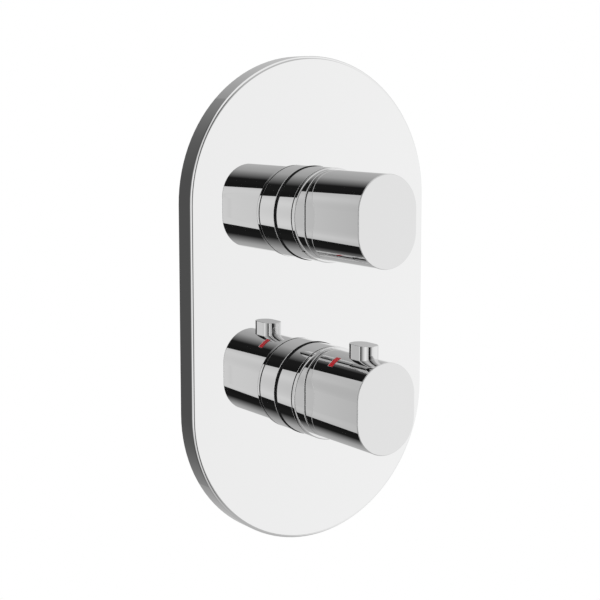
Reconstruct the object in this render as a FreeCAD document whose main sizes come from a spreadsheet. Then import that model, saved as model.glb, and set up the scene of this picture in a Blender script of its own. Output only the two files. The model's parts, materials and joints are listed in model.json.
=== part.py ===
import FreeCAD, Part
import math
import os
from types import SimpleNamespace

import Sketcher

# Concealed thermostatic mixer: an oblong chrome plate with two knobs, and the valve body in the wall.
# Millimetres. The origin is the middle of the plate's back, on the finished wall.
# +Z is up and -Y points out of the wall.
SIZES = {
    # Fits shared by many pieces
    "fit": 0.05,
    "running_gap": 0.3,
    "overrun": 2,
    # Cover plate and its gasket
    "plate_width": 120,
    "plate_height": 206,
    "plate_depth": 9.5,
    "plate_wall": 2,
    "plate_edge_round": 1.2,
    "plate_hole_clearance": 0.5,
    "gasket_width": 5,
    # Collars, their seals and the sleeves that they screw on
    "knob_spacing": 75,
    "collar_diameter": 39.6,
    "collar_length": 12.9,
    "collar_lip": 2,
    "collar_opening": 26,
    "collar_edge_round": 0.4,
    "collar_groove_setback": 1.8,
    "collar_groove_width": 0.5,
    "collar_groove_depth": 0.5,
    "collar_foot_chamfer": 0.3,
    "seal_thickness": 0.9,
    "seal_inset": 0.15,
    "seal_width": 1.6,
    "sleeve_diameter": 34,
    "sleeve_wall": 1.5,
    # Oblong handles and the driving blocks inside them
    "handle_gap": 0.3,
    "handle_width": 29,
    "handle_height": 37.8,
    "handle_length": 35.5,
    "handle_wall": 2.5,
    "handle_edge_round": 0.2,
    "handle_back_round": 0.35,
    "insert_length": 22,
    "insert_socket_depth": 12,
    "spindle_square": 7,
    "grub_diameter": 4,
    "grub_setback": 18,
    "grub_recess": 0.4,
    "grub_key": 2,
    "grub_key_depth": 1.2,
    # Safety button in the lower handle
    "button_width": 8.8,
    "button_length": 13.8,
    "button_rise": 5.3,
    "button_setback": 14.9,
    "button_edge_round": 0.12,
    "button_travel": 2,
    "button_flange_width": 1.1,
    "button_spigot_diameter": 6.4,
    "button_spigot_length": 1.5,
    "button_arm_width": 4,
    "button_arm_height": 2,
    "button_arm_headroom": 1.2,
    "button_arm_overlap": 4,
    "button_well_floor": 1.5,
    "button_spring_wire": 0.7,
    # Red dash on the lower handle, let into its upper round
    "mark_setback": 24,
    "mark_width": 2.7,
    "mark_depth": 0.35,
    "mark_rise": 0.06,
    "mark_angle": 21,
    "mark_turn": 34,
    # Stop ring: a cam with a window for the button's arm
    "stop_ring_length": 6,
    "stop_margin_angle": 2,
    "temperature_travel": 150,
    # Spindles, cartridge necks and nuts
    "spindle_diameter": 10,
    "spindle_oring_wire": 1.2,
    "spindle_oring_depth": 5,
    "neck_diameter": 17,
    "neck_reach": 14,
    "nut_flats": 22,
    "nut_head": 6,
    "nut_thread": 8,
    "chamber_diameter": 26,
    "body_neck_depth": 4,
    "body_face_depth": 14,
    "cartridge_wall": 3,
    "spindle_end_play": 0.2,
    # Ceramic diverter cartridge behind the upper handle
    "disc_diameter": 20.4,
    "drive_flange_length": 10.8,
    "moving_disc_height": 8,
    "fixed_disc_height": 4,
    "disc_seal_height": 2.5,
    "disc_channel": 7,
    "disc_seal_bore": 12,
    # Thermostat cartridge behind the lower handle
    "barrel_length": 44,
    "barrel_bore": 19,
    "barrel_land": 10,
    "barrel_middle_land": 5,
    "barrel_relief": 1.75,
    "barrel_window": 5,
    "barrel_windows": 6,
    "oring_wire": 1.8,
    "oring_groove_width": 2.4,
    "end_cap_length": 6,
    "end_cap_bore": 11,
    "regulator_thread": 7,
    "regulator_socket_depth": 12,
    "regulator_stem": 9.5,
    "regulator_flange": 3,
    "regulator_play": 0.5,
    "regulator_spigot": 3,
    "overload_spring_length": 6,
    "overload_spring_diameter": 12,
    "thermostat_spring_wire": 1.2,
    "element_piston_diameter": 4,
    "element_piston_length": 2,
    "element_flange_diameter": 13,
    "element_flange": 2,
    "element_diameter": 9,
    "element_length": 7.3,
    "element_bulb_diameter": 7,
    "element_bulb_length": 12,
    "shuttle_length": 6.8,
    "shuttle_port": 2,
    "shuttle_ports": 6,
    "shuttle_ports_circle": 13.6,
    "shuttle_stroke": 1,
    "return_spring_diameter": 16,
    # Brass valve body in the wall
    "body_wall": 5.5,
    "body_floor": 4,
    "duct_gap": 2,
    "duct_end_gap": 2,
    "duct_bore": 12,
    "duct_wall": 4,
    "rib_thickness": 10,
    "upper_rear_diameter": 22,
    "inlet_depth": 34,
    "inlet_reach": 58,
    "outlet_reach": 86,
    "outlet_offset": 27,
    "port_thread_bore": 18.6,
    "port_boss": 27,
    "port_hex_flats": 28,
    "port_hex_length": 14,
    "inlet_floor": 22,
    "inlet_port": 6.6,
    "inlet_port_shift": 5,
    "outlet_thread_length": 22,
    "outlet_gallery": 10,
    "outlet_bridge": 22,
    # Non-return valves and strainers in the inlets
    "check_length": 16,
    "check_wall": 1.6,
    "check_bore": 17,
    "check_bore_length": 18,
    "check_seat_bore": 10,
    "check_stem": 3,
    "check_hub": 6,
    "check_hub_length": 4,
    "check_disc": 2,
    "check_port": 3.2,
    "check_ports": 4,
    "check_ports_circle": 10.2,
    "check_travel": 3,
    "check_spring_wire": 0.8,
    "filter_thickness": 1.5,
    "filter_hole": 2,
    "filter_holes": 8,
    "filter_holes_circle": 10,
    # Bracket that carries the body in the wall, and its screws
    "bracket_width": 46,
    "bracket_hole_overhang": 4,
    "bracket_thickness": 2,
    "bracket_hole": 6.6,
    "bracket_spacing_across": 26,
    "bracket_spacing_up": 132,
    "bracket_screw": 5,
    "bracket_screw_length": 14,
    "bracket_screw_head": 9,
    "bracket_screw_head_height": 3,
    "bracket_screw_key": 3,
    "bracket_screw_spacing": 28,
    "bracket_boss": 12,
    "bracket_boss_length": 30,
    "bracket_web_height": 14,
    "bracket_screw_hole_clearance": 0.2,
}
FULL_TURN = 360
RIGHT_ANGLE = 90
HEX = 6
TINY_SHARE = 1e-9


class Size:
    """A size: its value, and the sheet formula that gives it. Sums of sizes stay bound to the sheet."""

    def __init__(self, value, formula):
        self.value = value
        self.formula = formula

    def __add__(self, other):
        other = as_size(other)
        return Size(self.value + other.value, f"({self.formula} + {other.formula})")

    def __sub__(self, other):
        other = as_size(other)
        return Size(self.value - other.value, f"({self.formula} - {other.formula})")

    def __mul__(self, factor):
        factor = as_size(factor)
        return Size(self.value * factor.value, f"({self.formula} * {factor.formula})")

    def __truediv__(self, divisor):
        divisor = as_size(divisor)
        return Size(self.value / divisor.value, f"({self.formula} / {divisor.formula})")

    def __neg__(self):
        return Size(-self.value, f"(0 - {self.formula})")


def as_size(number):
    if isinstance(number, Size):
        return number
    return Size(number, f"({number!r})")


def root(size):
    return Size(math.sqrt(size.value), f"sqrt({size.formula})")


doc = FreeCAD.newDocument("concealed_mixer_valve")
sheet = doc.addObject("Spreadsheet::Sheet", "sizes")
for row, (alias, number) in enumerate(SIZES.items(), 1):
    sheet.set(f"A{row}", alias)
    sheet.set(f"B{row}", str(number))
    sheet.setAlias(f"B{row}", alias)
doc.recompute()
s = SimpleNamespace(**{alias: Size(number, f"sizes.{alias}") for alias, number in SIZES.items()})
pieces = []

# Places along the knobs' axes, from the wall outwards, where outwards is negative
collar_back = -(s.plate_depth + s.seal_thickness)
collar_front = collar_back - s.collar_length
lip_back = collar_front + s.collar_lip
handle_back = collar_front - s.handle_gap
handle_front = handle_back - s.handle_length
insert_front = handle_front + s.handle_wall
insert_back = insert_front + s.insert_length
spindle_tip = insert_back - s.insert_socket_depth + s.running_gap
spindle_shoulder = insert_back + s.running_gap
neck_tip = -s.neck_reach

# Places along the same axes inside the wall
nut_back = s.body_neck_depth + s.nut_thread
cartridge_bottom = nut_back + s.cartridge_wall
flange_face = cartridge_bottom + s.spindle_end_play
flange_rear = flange_face + s.regulator_flange
moving_disc_face = flange_face + s.drive_flange_length
fixed_disc_face = moving_disc_face + s.moving_disc_height
disc_seal_face = fixed_disc_face + s.fixed_disc_height
upper_chamber_floor = disc_seal_face + s.disc_seal_height
disc_channel_depth = moving_disc_face + s.moving_disc_height / 2
barrel_end = nut_back + s.barrel_length
duct_depth = barrel_end + s.duct_gap
lower_chamber_floor = duct_depth + s.duct_bore / 2 + s.duct_end_gap
body_depth = lower_chamber_floor + s.body_floor

# Radii and half sizes
upper_z = s.knob_spacing / 2
lower_z = -upper_z
sleeve_radius = s.sleeve_diameter / 2
sleeve_bore = sleeve_radius - s.sleeve_wall
collar_radius = s.collar_diameter / 2
plate_straight = (s.plate_height - s.plate_width) / 2
handle_half = s.handle_width / 2
handle_straight = (s.handle_height - s.handle_width) / 2
cavity_half = handle_half - s.handle_wall
insert_half = cavity_half - s.fit
spindle_radius = s.spindle_diameter / 2
spindle_bore = spindle_radius + s.fit
neck_radius = s.neck_diameter / 2
chamber_radius = s.chamber_diameter / 2
cartridge_radius = chamber_radius - s.fit
disc_radius = s.disc_diameter / 2
disc_bore = disc_radius + s.running_gap
barrel_bore = s.barrel_bore / 2
slider_radius = barrel_bore - s.running_gap

# Safety button, measured up from the lower knob's axis
button_half = s.button_width / 2
button_straight = (s.button_length - s.button_width) / 2
button_flange = button_half + s.button_flange_width
button_y = handle_front + s.button_setback
button_top = s.handle_height / 2 + s.button_rise
arm_top = s.collar_opening / 2 - s.button_arm_headroom
flange_bottom = arm_top - s.button_arm_height
cavity_roof = handle_straight + root(cavity_half * cavity_half - button_flange * button_flange)
flange_top = cavity_roof - s.running_gap
well_floor = s.spindle_square / 2 + s.fit + s.button_well_floor
well_half = button_flange + s.running_gap
well_front = button_y - button_straight - well_half
stop_window_radius = s.collar_opening / 2 - s.running_gap
arm_half = s.button_arm_width / 2
arm_pressed_top = arm_top - s.button_travel
stop_lug_radius = root(arm_pressed_top * arm_pressed_top + arm_half * arm_half) + s.running_gap


def bind(item, name, size):
    """Set a property to a size and keep it bound to the sheet."""
    item.setExpression(name, as_size(size).formula)


def place(item, x=0, y=0, z=0):
    for axis, size in (("x", x), ("y", y), ("z", z)):
        bind(item, f"Placement.Base.{axis}", size)
    return item


def keep(item, label):
    """Give a finished piece the name of its node."""
    item.Label = label
    pieces.append(item)
    return item


def new_body(name):
    return doc.addObject("PartDesign::Body", name)


def new_sketch(body, role, offset=0):
    """A sketch on one of the body's own planes, moved along the plane's normal."""
    sketch = body.newObject("Sketcher::SketchObject", f"{body.Name}_sketch")
    plane = next(feature for feature in body.Origin.OriginFeatures if feature.Role == role)
    sketch.AttachmentSupport = [(plane, "")]
    sketch.MapMode = "FlatFace"
    bind(sketch, "AttachmentOffset.Base.z", offset)
    return sketch


def dimension(sketch, kind, size, *ends):
    index = sketch.addConstraint(Sketcher.Constraint(kind, *ends, size.value))
    bind(sketch, f"Constraints[{index}]", size)


def pin_point(sketch, geometry, end, across, up):
    """Hold a point at two sizes from the sketch's origin, where zero is on the axis itself."""
    for kind, axis, size in (("DistanceX", -2, across), ("DistanceY", -1, up)):
        if isinstance(size, Size):
            dimension(sketch, kind, size, -1, 1, geometry, end)
        else:
            sketch.addConstraint(Sketcher.Constraint("PointOnObject", geometry, end, axis))


def vector(across, up):
    return FreeCAD.Vector(as_size(across).value, as_size(up).value, 0)


def add_outline(sketch, points):
    """A closed outline of straight lines through points of two sizes each."""
    lines = []
    for start, end in zip(points, points[1:] + points[:1]):
        lines.append(sketch.addGeometry(Part.LineSegment(vector(*start), vector(*end)), False))
    for line, following in zip(lines, lines[1:] + lines[:1]):
        sketch.addConstraint(Sketcher.Constraint("Coincident", line, 2, following, 1))
    for line, point in zip(lines, points):
        pin_point(sketch, line, 1, *point)


def add_circle(sketch, across, up, radius):
    normal = FreeCAD.Vector(0, 0, 1)
    circle = sketch.addGeometry(Part.Circle(vector(across, up), normal, radius.value), False)
    pin_point(sketch, circle, 3, across, up)
    dimension(sketch, "Radius", radius, circle)


def add_oblong(sketch, half_width, straight):
    """An upright oblong with half-round ends: half its width, and half the length of its straight sides."""
    normal = FreeCAD.Vector(0, 0, 1)
    upper = Part.Circle(vector(0, straight), normal, half_width.value)
    lower = Part.Circle(vector(0, -straight), normal, half_width.value)
    top = sketch.addGeometry(Part.ArcOfCircle(upper, 0, math.pi), False)
    left_side = Part.LineSegment(vector(-half_width, straight), vector(-half_width, -straight))
    left = sketch.addGeometry(left_side, False)
    bottom = sketch.addGeometry(Part.ArcOfCircle(lower, math.pi, 2 * math.pi), False)
    right_side = Part.LineSegment(vector(half_width, -straight), vector(half_width, straight))
    right = sketch.addGeometry(right_side, False)
    ring = (top, left, bottom, right)
    for curve, following in zip(ring, ring[1:] + ring[:1]):
        sketch.addConstraint(Sketcher.Constraint("Coincident", curve, 2, following, 1))
    for arc, height in ((top, straight), (bottom, -straight)):
        pin_point(sketch, arc, 3, 0, height)
        dimension(sketch, "Radius", half_width, arc)
        for end in (1, 2):
            sketch.addConstraint(Sketcher.Constraint("Horizontal", arc, 3, arc, end))


def pad(body, sketch, length, backwards=False):
    feature = body.newObject("PartDesign::Pad", f"{body.Name}_pad")
    feature.Profile = sketch
    bind(feature, "Length", length)
    feature.Reversed = backwards
    return feature


def pocket(body, sketch, length, backwards=False):
    """A cut along a sketch's normal, or against it, that has to take something away."""
    doc.recompute()
    before = body.Shape.Volume
    feature = body.newObject("PartDesign::Pocket", f"{body.Name}_pocket")
    feature.Profile = sketch
    bind(feature, "Length", length)
    feature.Reversed = not backwards
    doc.recompute()
    if not body.Shape.Volume < before:
        raise RuntimeError(f"a pocket in {body.Name} cuts nothing")
    return feature


def turned(name, profile, along="Y"):
    """A piece turned on a lathe. The profile's points are (radius, place along the axis)."""
    body = new_body(name)
    if along == "X":
        sketch = new_sketch(body, "XY_Plane")
        add_outline(sketch, [(place_along, radius) for radius, place_along in profile])
        axis = "H_Axis"
    else:
        sketch = new_sketch(body, "XY_Plane" if along == "Y" else "XZ_Plane")
        add_outline(sketch, profile)
        axis = "V_Axis"
    feature = body.newObject("PartDesign::Revolution", f"{name}_turning")
    feature.Profile = sketch
    feature.ReferenceAxis = (sketch, [axis])
    feature.Angle = FULL_TURN
    return body


def tube(name, inner, outer, start, end, along="Y"):
    return turned(name, [(inner, start), (outer, start), (outer, end), (inner, end)], along)


def round_end(body, radius, furthest=min, axis="y"):
    """Round the edges of the end face: the furthest out of the wall, or the other end, or another axis's."""
    doc.recompute()
    base = body.Tip
    places = [getattr(face.CenterOfMass, axis) for face in base.Shape.Faces]
    number = places.index(furthest(places)) + 1
    feature = body.newObject("PartDesign::Fillet", f"{body.Name}_round")
    feature.Base = (base, [f"Face{number}"])
    bind(feature, "Radius", radius)


def aim(item, along):
    """Turn a primitive that stands along Z to lie along X or Y."""
    turns = {
        "X": FreeCAD.Rotation(FreeCAD.Vector(0, 1, 0), RIGHT_ANGLE),
        "Y": FreeCAD.Rotation(FreeCAD.Vector(1, 0, 0), -RIGHT_ANGLE),
        "Z": FreeCAD.Rotation(),
    }
    item.Placement = FreeCAD.Placement(FreeCAD.Vector(), turns[along])


def rod(name, radius, start, end, along, x=0, y=0, z=0):
    """A plain round bar or bore from one place to another along an axis."""
    item = doc.addObject("Part::Cylinder", name)
    bind(item, "Radius", radius)
    bind(item, "Height", as_size(end) - start)
    aim(item, along)
    base = {"X": x, "Y": y, "Z": z, along: start}
    return place(item, base["X"], base["Y"], base["Z"])


def hex_bar(name, flats, start, end, along, x=0, y=0, z=0):
    """A six-sided bar, by its width across the flats."""
    item = doc.addObject("Part::Prism", name)
    item.Polygon = HEX
    bind(item, "Circumradius", flats / (2 * math.cos(math.pi / HEX)))
    bind(item, "Height", as_size(end) - start)
    aim(item, along)
    base = {"X": x, "Y": y, "Z": z, along: start}
    return place(item, base["X"], base["Y"], base["Z"])


def block(name, low, high):
    """A rectangular block between two corners."""
    item = doc.addObject("Part::Box", name)
    for side, start, end in zip(("Length", "Width", "Height"), low, high):
        bind(item, side, as_size(end) - start)
    return place(item, *low)


def fused(name, items):
    item = doc.addObject("Part::MultiFuse", name)
    item.Shapes = items
    return item


def cut_from(base, tools, name):
    item = doc.addObject("Part::Cut", name)
    item.Base = base
    item.Tool = tools[0] if len(tools) == 1 else fused(f"{name}_tools", tools)
    return item


def ring_of(count, circle):
    """Places round a circle, as (across, up) sizes. A share that is nothing lies on the axis."""
    spots = []
    for step in range(int(count.value)):
        angle = 2 * math.pi * step / count.value
        shares = (math.cos(angle), math.sin(angle))
        spots.append(tuple(0 if abs(share) < TINY_SHARE else circle / 2 * share for share in shares))
    return spots


def make_plate():
    body = new_body("plate")
    half = s.plate_width / 2
    outline = new_sketch(body, "XZ_Plane")
    add_oblong(outline, half, plate_straight)
    pad(body, outline, s.plate_depth)
    round_end(body, s.plate_edge_round)
    hollow = new_sketch(body, "XZ_Plane")
    add_oblong(hollow, half - s.plate_wall, plate_straight)
    pocket(body, hollow, s.plate_depth - s.plate_wall)
    holes = new_sketch(body, "XZ_Plane")
    for height in (upper_z, lower_z):
        add_circle(holes, 0, height, sleeve_radius + s.plate_hole_clearance)
    pocket(body, holes, s.plate_depth + s.overrun)
    keep(body, "cover_plate")

    gasket = new_body("gasket")
    outer = half - s.plate_wall - s.fit
    outline = new_sketch(gasket, "XZ_Plane")
    add_oblong(outline, outer, plate_straight)
    add_oblong(outline, outer - s.gasket_width, plate_straight)
    pad(gasket, outline, s.plate_depth - s.plate_wall)
    keep(gasket, "plate_gasket")


def make_collar(level, height):
    """A collar with a fine groove near its front, its seal, and the sleeve that carries it on the body."""
    bore = sleeve_radius + s.fit
    opening = s.collar_opening / 2
    foot = collar_radius - s.collar_foot_chamfer
    groove_floor = collar_radius - s.collar_groove_depth
    groove_front = collar_front + s.collar_groove_setback
    groove_back = groove_front + s.collar_groove_width
    collar = turned(f"{level}_collar", [
        (bore, collar_back),
        (foot, collar_back),
        (collar_radius, collar_back - s.collar_foot_chamfer),
        (collar_radius, groove_back),
        (groove_floor, groove_back),
        (groove_floor, groove_front),
        (collar_radius, groove_front),
        (collar_radius, collar_front),
        (opening, collar_front),
        (opening, lip_back),
        (bore, lip_back),
    ])
    round_outer_front(collar, collar_radius, s.collar_edge_round)
    keep(place(collar, z=height), f"{level}_collar")
    seal_outer = collar_radius - s.seal_inset
    seal = tube(f"{level}_seal", seal_outer - s.seal_width, seal_outer, collar_back, -s.plate_depth)
    keep(place(seal, z=height), f"{level}_collar_seal")
    sleeve = tube(f"{level}_sleeve", sleeve_bore, sleeve_radius, lip_back, s.body_face_depth)
    keep(place(sleeve, z=height), f"{level}_sleeve")


def round_outer_front(body, radius, rounding):
    """Round a turned piece's outer edge at the end that lies furthest out of the wall."""
    doc.recompute()
    base = body.Tip
    names = []
    for number, edge in enumerate(base.Shape.Edges, 1):
        circle = edge.Curve
        if hasattr(circle, "Radius") and math.isclose(circle.Radius, radius.value):
            names.append((circle.Center.y, f"Edge{number}"))
    feature = body.newObject("PartDesign::Fillet", f"{body.Name}_round")
    feature.Base = (base, [min(names)[1]])
    bind(feature, "Radius", rounding)


def make_handle_shell(name):
    """An oblong cup, open towards the wall, with a threaded hole for the grub screw in its underside."""
    body = new_body(name)
    outline = new_sketch(body, "XZ_Plane", -handle_back)
    add_oblong(outline, handle_half, handle_straight)
    pad(body, outline, s.handle_length)
    round_end(body, s.handle_edge_round)
    round_end(body, s.handle_back_round, max)
    cavity = new_sketch(body, "XZ_Plane", -handle_back)
    add_oblong(cavity, cavity_half, handle_straight)
    pocket(body, cavity, s.handle_length - s.handle_wall)
    screw_hole = new_sketch(body, "XY_Plane", -(s.handle_height / 2))
    add_circle(screw_hole, 0, handle_back - s.grub_setback, s.grub_diameter / 2 + s.fit)
    pocket(body, screw_hole, s.handle_wall + s.overrun)
    return body


def make_insert(name):
    """The block that fills the handle's end and takes the spindle's square."""
    body = new_body(name)
    outline = new_sketch(body, "XZ_Plane", -insert_back)
    add_oblong(outline, insert_half, handle_straight)
    pad(body, outline, s.insert_length)
    socket = new_sketch(body, "XZ_Plane", -insert_back)
    half = s.spindle_square / 2 + s.fit
    add_outline(socket, [(-half, -half), (half, -half), (half, half), (-half, half)])
    pocket(body, socket, s.insert_socket_depth)
    return body


def make_grub_screw(knob, height):
    """A socket screw through the handle's underside, up against the insert."""
    end = -(insert_half + handle_straight)
    start = s.grub_recess - s.handle_height / 2
    y = handle_back - s.grub_setback
    screw = rod(f"{knob}_grub_bar", s.grub_diameter / 2, start, end, "Z", y=y)
    key = hex_bar(f"{knob}_grub_key", s.grub_key, start - s.overrun, start + s.grub_key_depth, "Z", y=y)
    piece = cut_from(screw, [key], f"{knob}_grub")
    keep(place(piece, z=height), f"{knob}_grub_screw")


def make_spindle(knob, height, profile):
    """A round spindle with a square end for the insert and a groove for its O-ring."""
    body = turned(f"{knob}_spindle", profile)
    square = new_sketch(body, "XZ_Plane", -spindle_shoulder)
    half = s.spindle_square / 2
    add_outline(square, [(-half, -half), (half, -half), (half, half), (-half, half)])
    pad(body, square, spindle_shoulder - spindle_tip)
    keep(place(body, z=height), f"{knob}_spindle")
    oring = doc.addObject("Part::Torus", f"{knob}_oring")
    bind(oring, "Radius1", spindle_radius - s.spindle_oring_wire / 2)
    bind(oring, "Radius2", s.spindle_oring_wire / 2)
    aim(oring, "Y")
    keep(place(oring, y=-s.spindle_oring_depth, z=height), f"{knob}_spindle_oring")


def spindle_front():
    """The part of the profile that both spindles share, from the flange's face to the square end."""
    groove_half = s.spindle_oring_wire / 2 + s.fit
    groove_floor = spindle_radius - s.spindle_oring_wire - s.fit
    return [
        (spindle_radius, flange_face),
        (spindle_radius, groove_half - s.spindle_oring_depth),
        (groove_floor, groove_half - s.spindle_oring_depth),
        (groove_floor, -groove_half - s.spindle_oring_depth),
        (spindle_radius, -groove_half - s.spindle_oring_depth),
        (spindle_radius, spindle_shoulder),
        (0, spindle_shoulder),
    ]


def make_nut(name, height):
    """A gland nut that screws into the body's neck and holds a cartridge down."""
    head = hex_bar(f"{name}_head", s.nut_flats, s.body_neck_depth - s.nut_head, s.body_neck_depth, "Y")
    thread = rod(f"{name}_thread", cartridge_radius, s.body_neck_depth, nut_back, "Y")
    start = s.body_neck_depth - s.nut_head - s.overrun
    bore = rod(f"{name}_bore", neck_radius + s.fit, start, nut_back + s.overrun, "Y")
    piece = cut_from(fused(f"{name}_blank", [head, thread]), [bore], f"{name}_cut")
    keep(place(piece, z=height), name)


def make_flow_knob():
    handle = make_handle_shell("flow_shell")
    keep(place(handle, z=upper_z), "flow_handle")
    insert = make_insert("flow_block")
    keep(place(insert, z=upper_z), "flow_insert")
    make_grub_screw("flow", upper_z)
    drive = [
        (0, moving_disc_face),
        (disc_radius, moving_disc_face),
        (disc_radius, flange_face),
    ]
    make_spindle("flow", upper_z, drive + spindle_front())


def make_flow_cartridge():
    """Two ceramic discs in a housing: the moving one turns its side channel to one outlet or the other."""
    channel = s.disc_channel / 2
    disc = rod("moving_blank", disc_radius, moving_disc_face, fixed_disc_face, "Y")
    inward = rod("moving_axial", channel, disc_channel_depth, fixed_disc_face + s.overrun, "Y")
    upward = rod("moving_side", channel, 0, disc_radius + s.overrun, "Z", y=disc_channel_depth)
    piece = cut_from(disc, [inward, upward], "moving_disc")
    keep(place(piece, z=upper_z), "flow_moving_disc")
    fixed = tube("fixed_disc", channel, disc_bore - s.fit, fixed_disc_face, disc_seal_face)
    keep(place(fixed, z=upper_z), "flow_fixed_disc")
    seal = tube("disc_seal", s.disc_seal_bore / 2, disc_bore - s.fit, disc_seal_face, upper_chamber_floor)
    keep(place(seal, z=upper_z), "flow_disc_seal")
    shell = turned("flow_shell_turned", [
        (spindle_bore, neck_tip),
        (neck_radius, neck_tip),
        (neck_radius, nut_back),
        (cartridge_radius, nut_back),
        (cartridge_radius, upper_chamber_floor),
        (disc_bore, upper_chamber_floor),
        (disc_bore, cartridge_bottom),
        (spindle_bore, cartridge_bottom),
    ])
    reach = cartridge_radius + s.overrun
    windows = rod("flow_windows", channel, -reach, reach, "X", y=disc_channel_depth)
    piece = cut_from(shell, [windows], "flow_housing_cut")
    keep(place(piece, z=upper_z), "flow_housing")
    make_nut("flow_nut", upper_z)


def make_temperature_knob():
    shell = make_handle_shell("temperature_shell")
    hole = new_sketch(shell, "XY_Plane", s.handle_height / 2)
    bind(hole, "AttachmentOffset.Base.y", button_y)
    add_oblong(hole, button_half + s.fit, button_straight)
    pocket(shell, hole, s.handle_wall + s.overrun, backwards=True)
    groove = make_mark_sector("mark_groove", handle_half - s.mark_depth, s.fit, s.overrun)
    handle = cut_from(shell, [groove], "temperature_shell_cut")
    keep(place(handle, z=lower_z), "temperature_handle")
    mark = make_mark_sector("mark", handle_half - s.mark_depth + s.fit, as_size(0), s.mark_rise)
    keep(place(mark, z=lower_z), "temperature_mark")

    block_body = make_insert("temperature_block")
    slot = new_sketch(block_body, "XY_Plane", well_floor)
    slot_start = insert_back + s.overrun
    add_outline(slot, [
        (-well_half, well_front),
        (well_half, well_front),
        (well_half, slot_start),
        (-well_half, slot_start),
    ])
    pocket(block_body, slot, s.handle_height / 2)
    keep(place(block_body, z=lower_z), "temperature_insert")
    make_grub_screw("temperature", lower_z)

    socket_end = flange_rear - s.regulator_socket_depth
    socket_radius = s.regulator_thread / 2
    rear = [
        (0, socket_end),
        (socket_radius, socket_end),
        (socket_radius, flange_rear),
        (slider_radius, flange_rear),
        (slider_radius, flange_face),
    ]
    make_spindle("temperature", lower_z, rear + spindle_front())


def make_mark_sector(name, inner, clearance, rise):
    """A short dash round the handle's upper curve, turned to the left of the top."""
    y = handle_front + s.mark_setback
    low = y - s.mark_width / 2 - clearance
    high = y + s.mark_width / 2 + clearance
    angle = s.mark_angle + clearance / handle_half * math.degrees(1)
    sector = rod(f"{name}_sector", handle_half + rise, low, high, "Y", z=handle_straight)
    bind(sector, "Angle", angle)
    start = RIGHT_ANGLE + s.mark_turn.value + angle.value / 2
    turn = FreeCAD.Rotation(FreeCAD.Vector(0, 1, 0), -start)
    sector.Placement.Rotation = turn.multiply(sector.Placement.Rotation)
    core = rod(f"{name}_core", inner, low - s.overrun, high + s.overrun, "Y", z=handle_straight)
    return cut_from(sector, [core], name)


def make_button():
    """The safety button: head, flange under the handle's roof, and an arm that reaches the stop ring."""
    spigot = s.button_spigot_diameter / 2
    body = new_body("button")
    flange = new_sketch(body, "XY_Plane", flange_bottom)
    add_oblong(flange, button_flange, button_straight)
    pad(body, flange, flange_top - flange_bottom)
    head = new_sketch(body, "XY_Plane", flange_top)
    add_oblong(head, button_half, button_straight)
    pad(body, head, button_top - flange_top)
    round_end(body, s.button_edge_round, max, "z")
    guide = new_sketch(body, "XY_Plane", flange_bottom)
    add_circle(guide, 0, 0, spigot)
    pad(body, guide, s.button_spigot_length, backwards=True)
    arm = new_sketch(body, "XY_Plane", flange_bottom)
    arm_end = lip_back + s.button_arm_overlap - button_y
    add_outline(arm, [(-arm_half, 0), (arm_half, 0), (arm_half, arm_end), (-arm_half, arm_end)])
    pad(body, arm, s.button_arm_height)
    keep(place(body, y=button_y, z=lower_z), "safety_button")
    coil = spigot + s.running_gap
    spring = tube("button_coil", coil, coil + s.button_spring_wire, well_floor, flange_bottom, "Z")
    keep(place(spring, y=button_y, z=lower_z), "button_spring")


def make_stop_ring():
    """A ring inside the sleeve whose window lets the button's arm swing from 38 degrees to full cold."""
    ring_back = lip_back + s.stop_ring_length
    ring = rod("stop_blank", sleeve_bore - s.fit, lip_back, ring_back, "Y")
    bore = rod("stop_bore", stop_lug_radius, lip_back - s.overrun, ring_back + s.overrun, "Y")
    arm_share = arm_half.value / stop_lug_radius.value
    margin = math.degrees(math.asin(arm_share)) + s.stop_margin_angle.value
    window = rod("stop_window", stop_window_radius, lip_back - s.overrun, ring_back + s.overrun, "Y")
    bind(window, "Angle", s.temperature_travel + 2 * margin)
    turn = FreeCAD.Rotation(FreeCAD.Vector(0, 1, 0), -(RIGHT_ANGLE + margin))
    window.Placement.Rotation = turn.multiply(window.Placement.Rotation)
    piece = cut_from(ring, [bore, window], "stop_ring_cut")
    keep(place(piece, z=lower_z), "stop_ring")


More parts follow.
